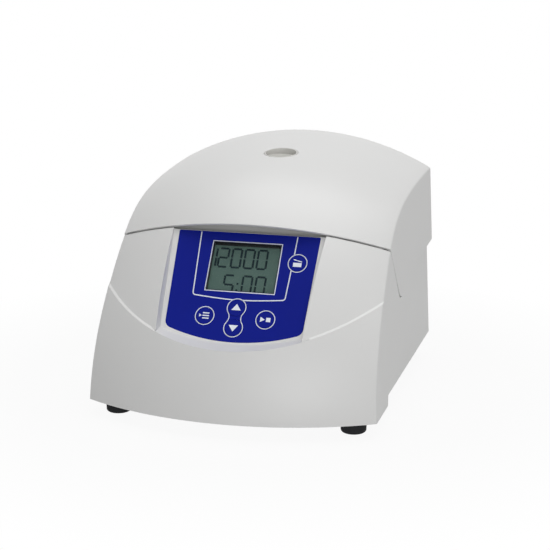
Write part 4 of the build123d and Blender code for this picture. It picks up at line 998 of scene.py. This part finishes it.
# %% The plan of a row of screws
TOP_SHARE, SLOT_LONG, SLOT_WIDE, SLOT_DEEP, SLOT_LIFT = 0.72, 1.15, 0.24, 1.1, 0.95
screws = Plan("screws", Head=3.2, Height=1.6)
head_sockets = {
    "Vertices": 24, "Radius Top": screws.given("Head") * TOP_SHARE,
    "Radius Bottom": screws.given("Head"), "Depth": screws.given("Height"),
}
head = screws.node("GeometryNodeMeshCone", None, head_sockets)
long_side, short_side = screws.given("Head") * SLOT_LONG, screws.given("Head") * SLOT_WIDE
deep = screws.given("Height") * SLOT_DEEP
slots = []
for sides in ((long_side, short_side), (short_side, long_side)):
    size = screws.node("ShaderNodeCombineXYZ", None, {"X": sides[0], "Y": sides[1], "Z": deep})
    slot = screws.node("GeometryNodeMeshCube", None, {"Size": size})
    lift = screws.node("ShaderNodeCombineXYZ", None, {"Z": screws.given("Height") * SLOT_LIFT})
    slots.append(screws.node("GeometryNodeTransform", None, {"Geometry": slot, "Translation": lift}))
crossed = screws.node("GeometryNodeMeshBoolean", cut_kind, {"Mesh 1": head, "Mesh 2": slots})
facing = screws.attribute("facing", "FLOAT_VECTOR")
turn = screws.node("FunctionNodeAlignRotationToVector", {"axis": "Z"}, {"Vector": facing})
copy_sockets = {"Points": screws.given(), "Instance": crossed, "Rotation": turn}
screws.end(screws.node("GeometryNodeInstanceOnPoints", None, copy_sockets), finish["plated_steel"])
print("screw plan:", len(screws.tree.nodes), "nodes")

# %% Screws on the back, the deck and the liner


def screw_row(name, body, points, facing, head, height):
    """Screws at points in metres, all facing one way."""
    seed = bpy.data.meshes.new(name)
    seed.from_pydata([[c * 1000 for c in p] for p in points], [], [])
    layer = seed.attributes.new("facing", "FLOAT_VECTOR", "POINT")
    for item in layer.data:
        item.vector = facing
    piece = screws.grow(name, seed, millimetres, Head=head, Height=height)
    smooth(piece.data, 30)
    return settle(piece, body)


SEAL_GAP = 0.004
rear_low, rear_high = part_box("rear_panel")
rear_y = rear_high.y
low_z, high_z = rear_low.z + 0.006, rear_high.z - 0.007
rear_spots = [(x, rear_y, z) for x in (-0.122, 0.0, 0.122) for z in (low_z, high_z)]
liner_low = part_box("lid_liner")[0].z
deck_top = liner_low - SEAL_GAP
deck_spots = [(x, y, deck_top) for x in (-0.112, 0.112) for y in (axis.y - 0.09, axis.y + 0.078)]
liner_spots = [(x, axis.y + y, liner_low) for x in (-0.105, 0.105) for y in (-0.075, 0.0, 0.075)]
screw_rows = [
    screw_row("rear_screws", "base", rear_spots, (0, 1, 0), 3.2, 1.7),
    screw_row("deck_screws", "base", deck_spots, (0, 0, 1), 3.0, 1.4),
    screw_row("liner_screws", "lid", liner_spots, (0, 0, -1), 2.8, 1.4),
]
print("screw rows:", [(p.name, len(p.data.polygons)) for p in screw_rows])

# %% [markdown]
# ## Marks on the mains rocker
#
# The rocker carries the two plain marks of a mains switch, a stroke for on and a ring for off. They
# could be cut in, but they are printed on most rockers, so they are strokes like those on the panel,
# laid on the two slopes of its shallow valley.

# %% Rocker marks
rocker_low, rocker_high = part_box("power_rocker")
rocker_mid = (rocker_low + rocker_high) / 2
SLOPE = math.atan2(2.2, 12)
MARK_BACK, MARK_RISE = 0.001, 0.0058


def rocker_mark(name, path, side):
    """A white mark on the upper or lower slope of the rocker."""
    face = Matrix.Rotation(-math.pi / 2 - side * SLOPE, 4, "X")
    spot = Vector((rocker_mid.x, rocker_high.y - MARK_BACK, rocker_mid.z + side * MARK_RISE))
    place = Matrix.Translation(spot) @ face @ millimetres
    mark = white_strokes.grow(name, chains(name, path), place, Width=0.7, Height=0.1)
    return settle(mark, "power_rocker")


marks = [
    rocker_mark("rocker_mark_on", ([(0, -1.7), (0, 1.7)], False), 1),
    rocker_mark("rocker_mark_off", circle(0, 0, 1.6, 28), -1),
]
print("rocker marks:", [m.name for m in marks])

# %% [markdown]
# ## Small rounds on the other pieces
#
# What shows outside or with the lid up gets the same care as the shells: a cleaned copy with a
# small round on its edges. The width is set piece by piece, because a pin takes less than a foot.
# Nought means that the piece is only cleaned.

# %% Dressed pieces
ROUNDS = {
    "foot_front_left": 0.0008, "foot_front_right": 0.0008, "foot_rear_left": 0.0008,
    "foot_rear_right": 0.0008, "rotor_nut": 0.0003, "rotor_bowl": 0, "lid_seal": 0.0004,
    "sight_tube": 0.0003, "lid_window": 0.0003, "lid_striker": 0.0003, "power_inlet": 0.0004,
    "switch_frame": 0.0004, "power_rocker": 0.0004, "inlet_pins": 0.0003, "latch_hook": 0.0003,
    "hinge_arm_left": 0.0003, "hinge_arm_right": 0.0003, "shaft_gaiter": 0, "rotor_shaft": 0.0002,
    "rotor_deck": 0.0005, "lid_liner": 0.0004, "panel_overlay": 0,
}
others = [dressed(node, edge) for node, edge in ROUNDS.items()]
print("dressed pieces:", len(others), "faces:", sum(len(p.data.polygons) for p in others))

# %% [markdown]
# ## Floor and light
#
# The instrument stands on a white sweep under soft studio light: a large lamp above, one in front
# near the camera, a weaker one on the right, and the white room itself. A plain white floor would
# turn grey under them. So near the feet it is mostly its own even white, with a small share of plain
# surface that takes the shadow, and further out it is all white like the background.

# %% Floor
FADE_FROM, FADE_RATE, NEAR_WHITE = 0.25, 5.0, 0.93
FLOOR_DROP = 0.0002


def seen(graph):
    """One where a ray from the camera, a gloss or a clear part looks, and nought elsewhere."""
    kinds = ("Is Camera Ray", "Is Glossy Ray", "Is Transmission Ray")
    first, second, third = [graph.node("ShaderNodeLightPath", out=kind) for kind in kinds]
    return (first + second + third).math("MINIMUM", 1)


def sweep():
    """A white floor that fades to plain white away from the object."""
    recipe = Recipe("floor_white", Roughness=0.9, Base_Color=(0.6, 0.6, 0.6, 1))
    tree = recipe.tree
    where = recipe.place((0, 0.02, 0))
    far = recipe.node("ShaderNodeVectorMath", {"operation": "LENGTH"}, {0: where}, 1)
    fade = ((far - FADE_FROM) * FADE_RATE).math("MAXIMUM", 0).math("MINIMUM", 1)
    glow = recipe.node("ShaderNodeEmission", None, {"Color": (1, 1, 1, 1), "Strength": 1.0})
    plain = Wire(recipe, recipe.shader.outputs[0])
    amount = seen(recipe) * (NEAR_WHITE + fade * (1 - NEAR_WHITE))
    both = recipe.node("ShaderNodeMixShader", None, {0: amount, 1: plain, 2: glow})
    tree.links.new(both.socket, tree.nodes["Material Output"].inputs["Surface"])
    return recipe.material


ground = bpy.data.meshes.new("floor")
ground.from_pydata([(-6, -6, 0), (6, -6, 0), (6, 6, 0), (-6, 6, 0)], [], [(0, 1, 2, 3)])
floor = show("floor", ground, sweep())
floor.data.transform(Matrix.Translation((0, 0, -FLOOR_DROP)))
print("floor ready")

# %% Lamps and room
LAMP_AIM = Vector((0, 0, 0.1))
ROOM_LIGHT, ROOM_SEEN = 0.2, 1.0


def lamp(name, place, size, power):
    """A soft square lamp that looks at the instrument."""
    light = bpy.data.lights.new(name, "AREA")
    light.shape = "SQUARE"
    light.size = size
    light.energy = power
    holder = bpy.data.objects.new(name, light)
    holder.location = place
    holder.rotation_mode = "QUATERNION"
    holder.rotation_quaternion = (Vector(place) - LAMP_AIM).to_track_quat("Z", "Y")
    bpy.context.scene.collection.objects.link(holder)
    return holder


class Room(Graph):
    """The world's tree under construction."""

    def __init__(self, world):
        world.use_nodes = True
        self.tree = world.node_tree


lamp("front_lamp", (0.6, -1.9, 0.4), 1.0, 14)
lamp("side_lamp", (1.8, -0.3, 0.9), 1.0, 3.6)
lamp("top_lamp", (0, 0.3, 2.0), 1.6, 25)

world = bpy.data.worlds.new("room")
bpy.context.scene.world = world
room = Room(world)
strength = ROOM_LIGHT + seen(room) * (ROOM_SEEN - ROOM_LIGHT)
backdrop = room.tree.nodes["Background"]
backdrop.inputs["Color"].default_value = (1, 1, 1, 1)
room.tree.links.new(strength.socket, backdrop.inputs["Strength"])
print("lamps and room ready")
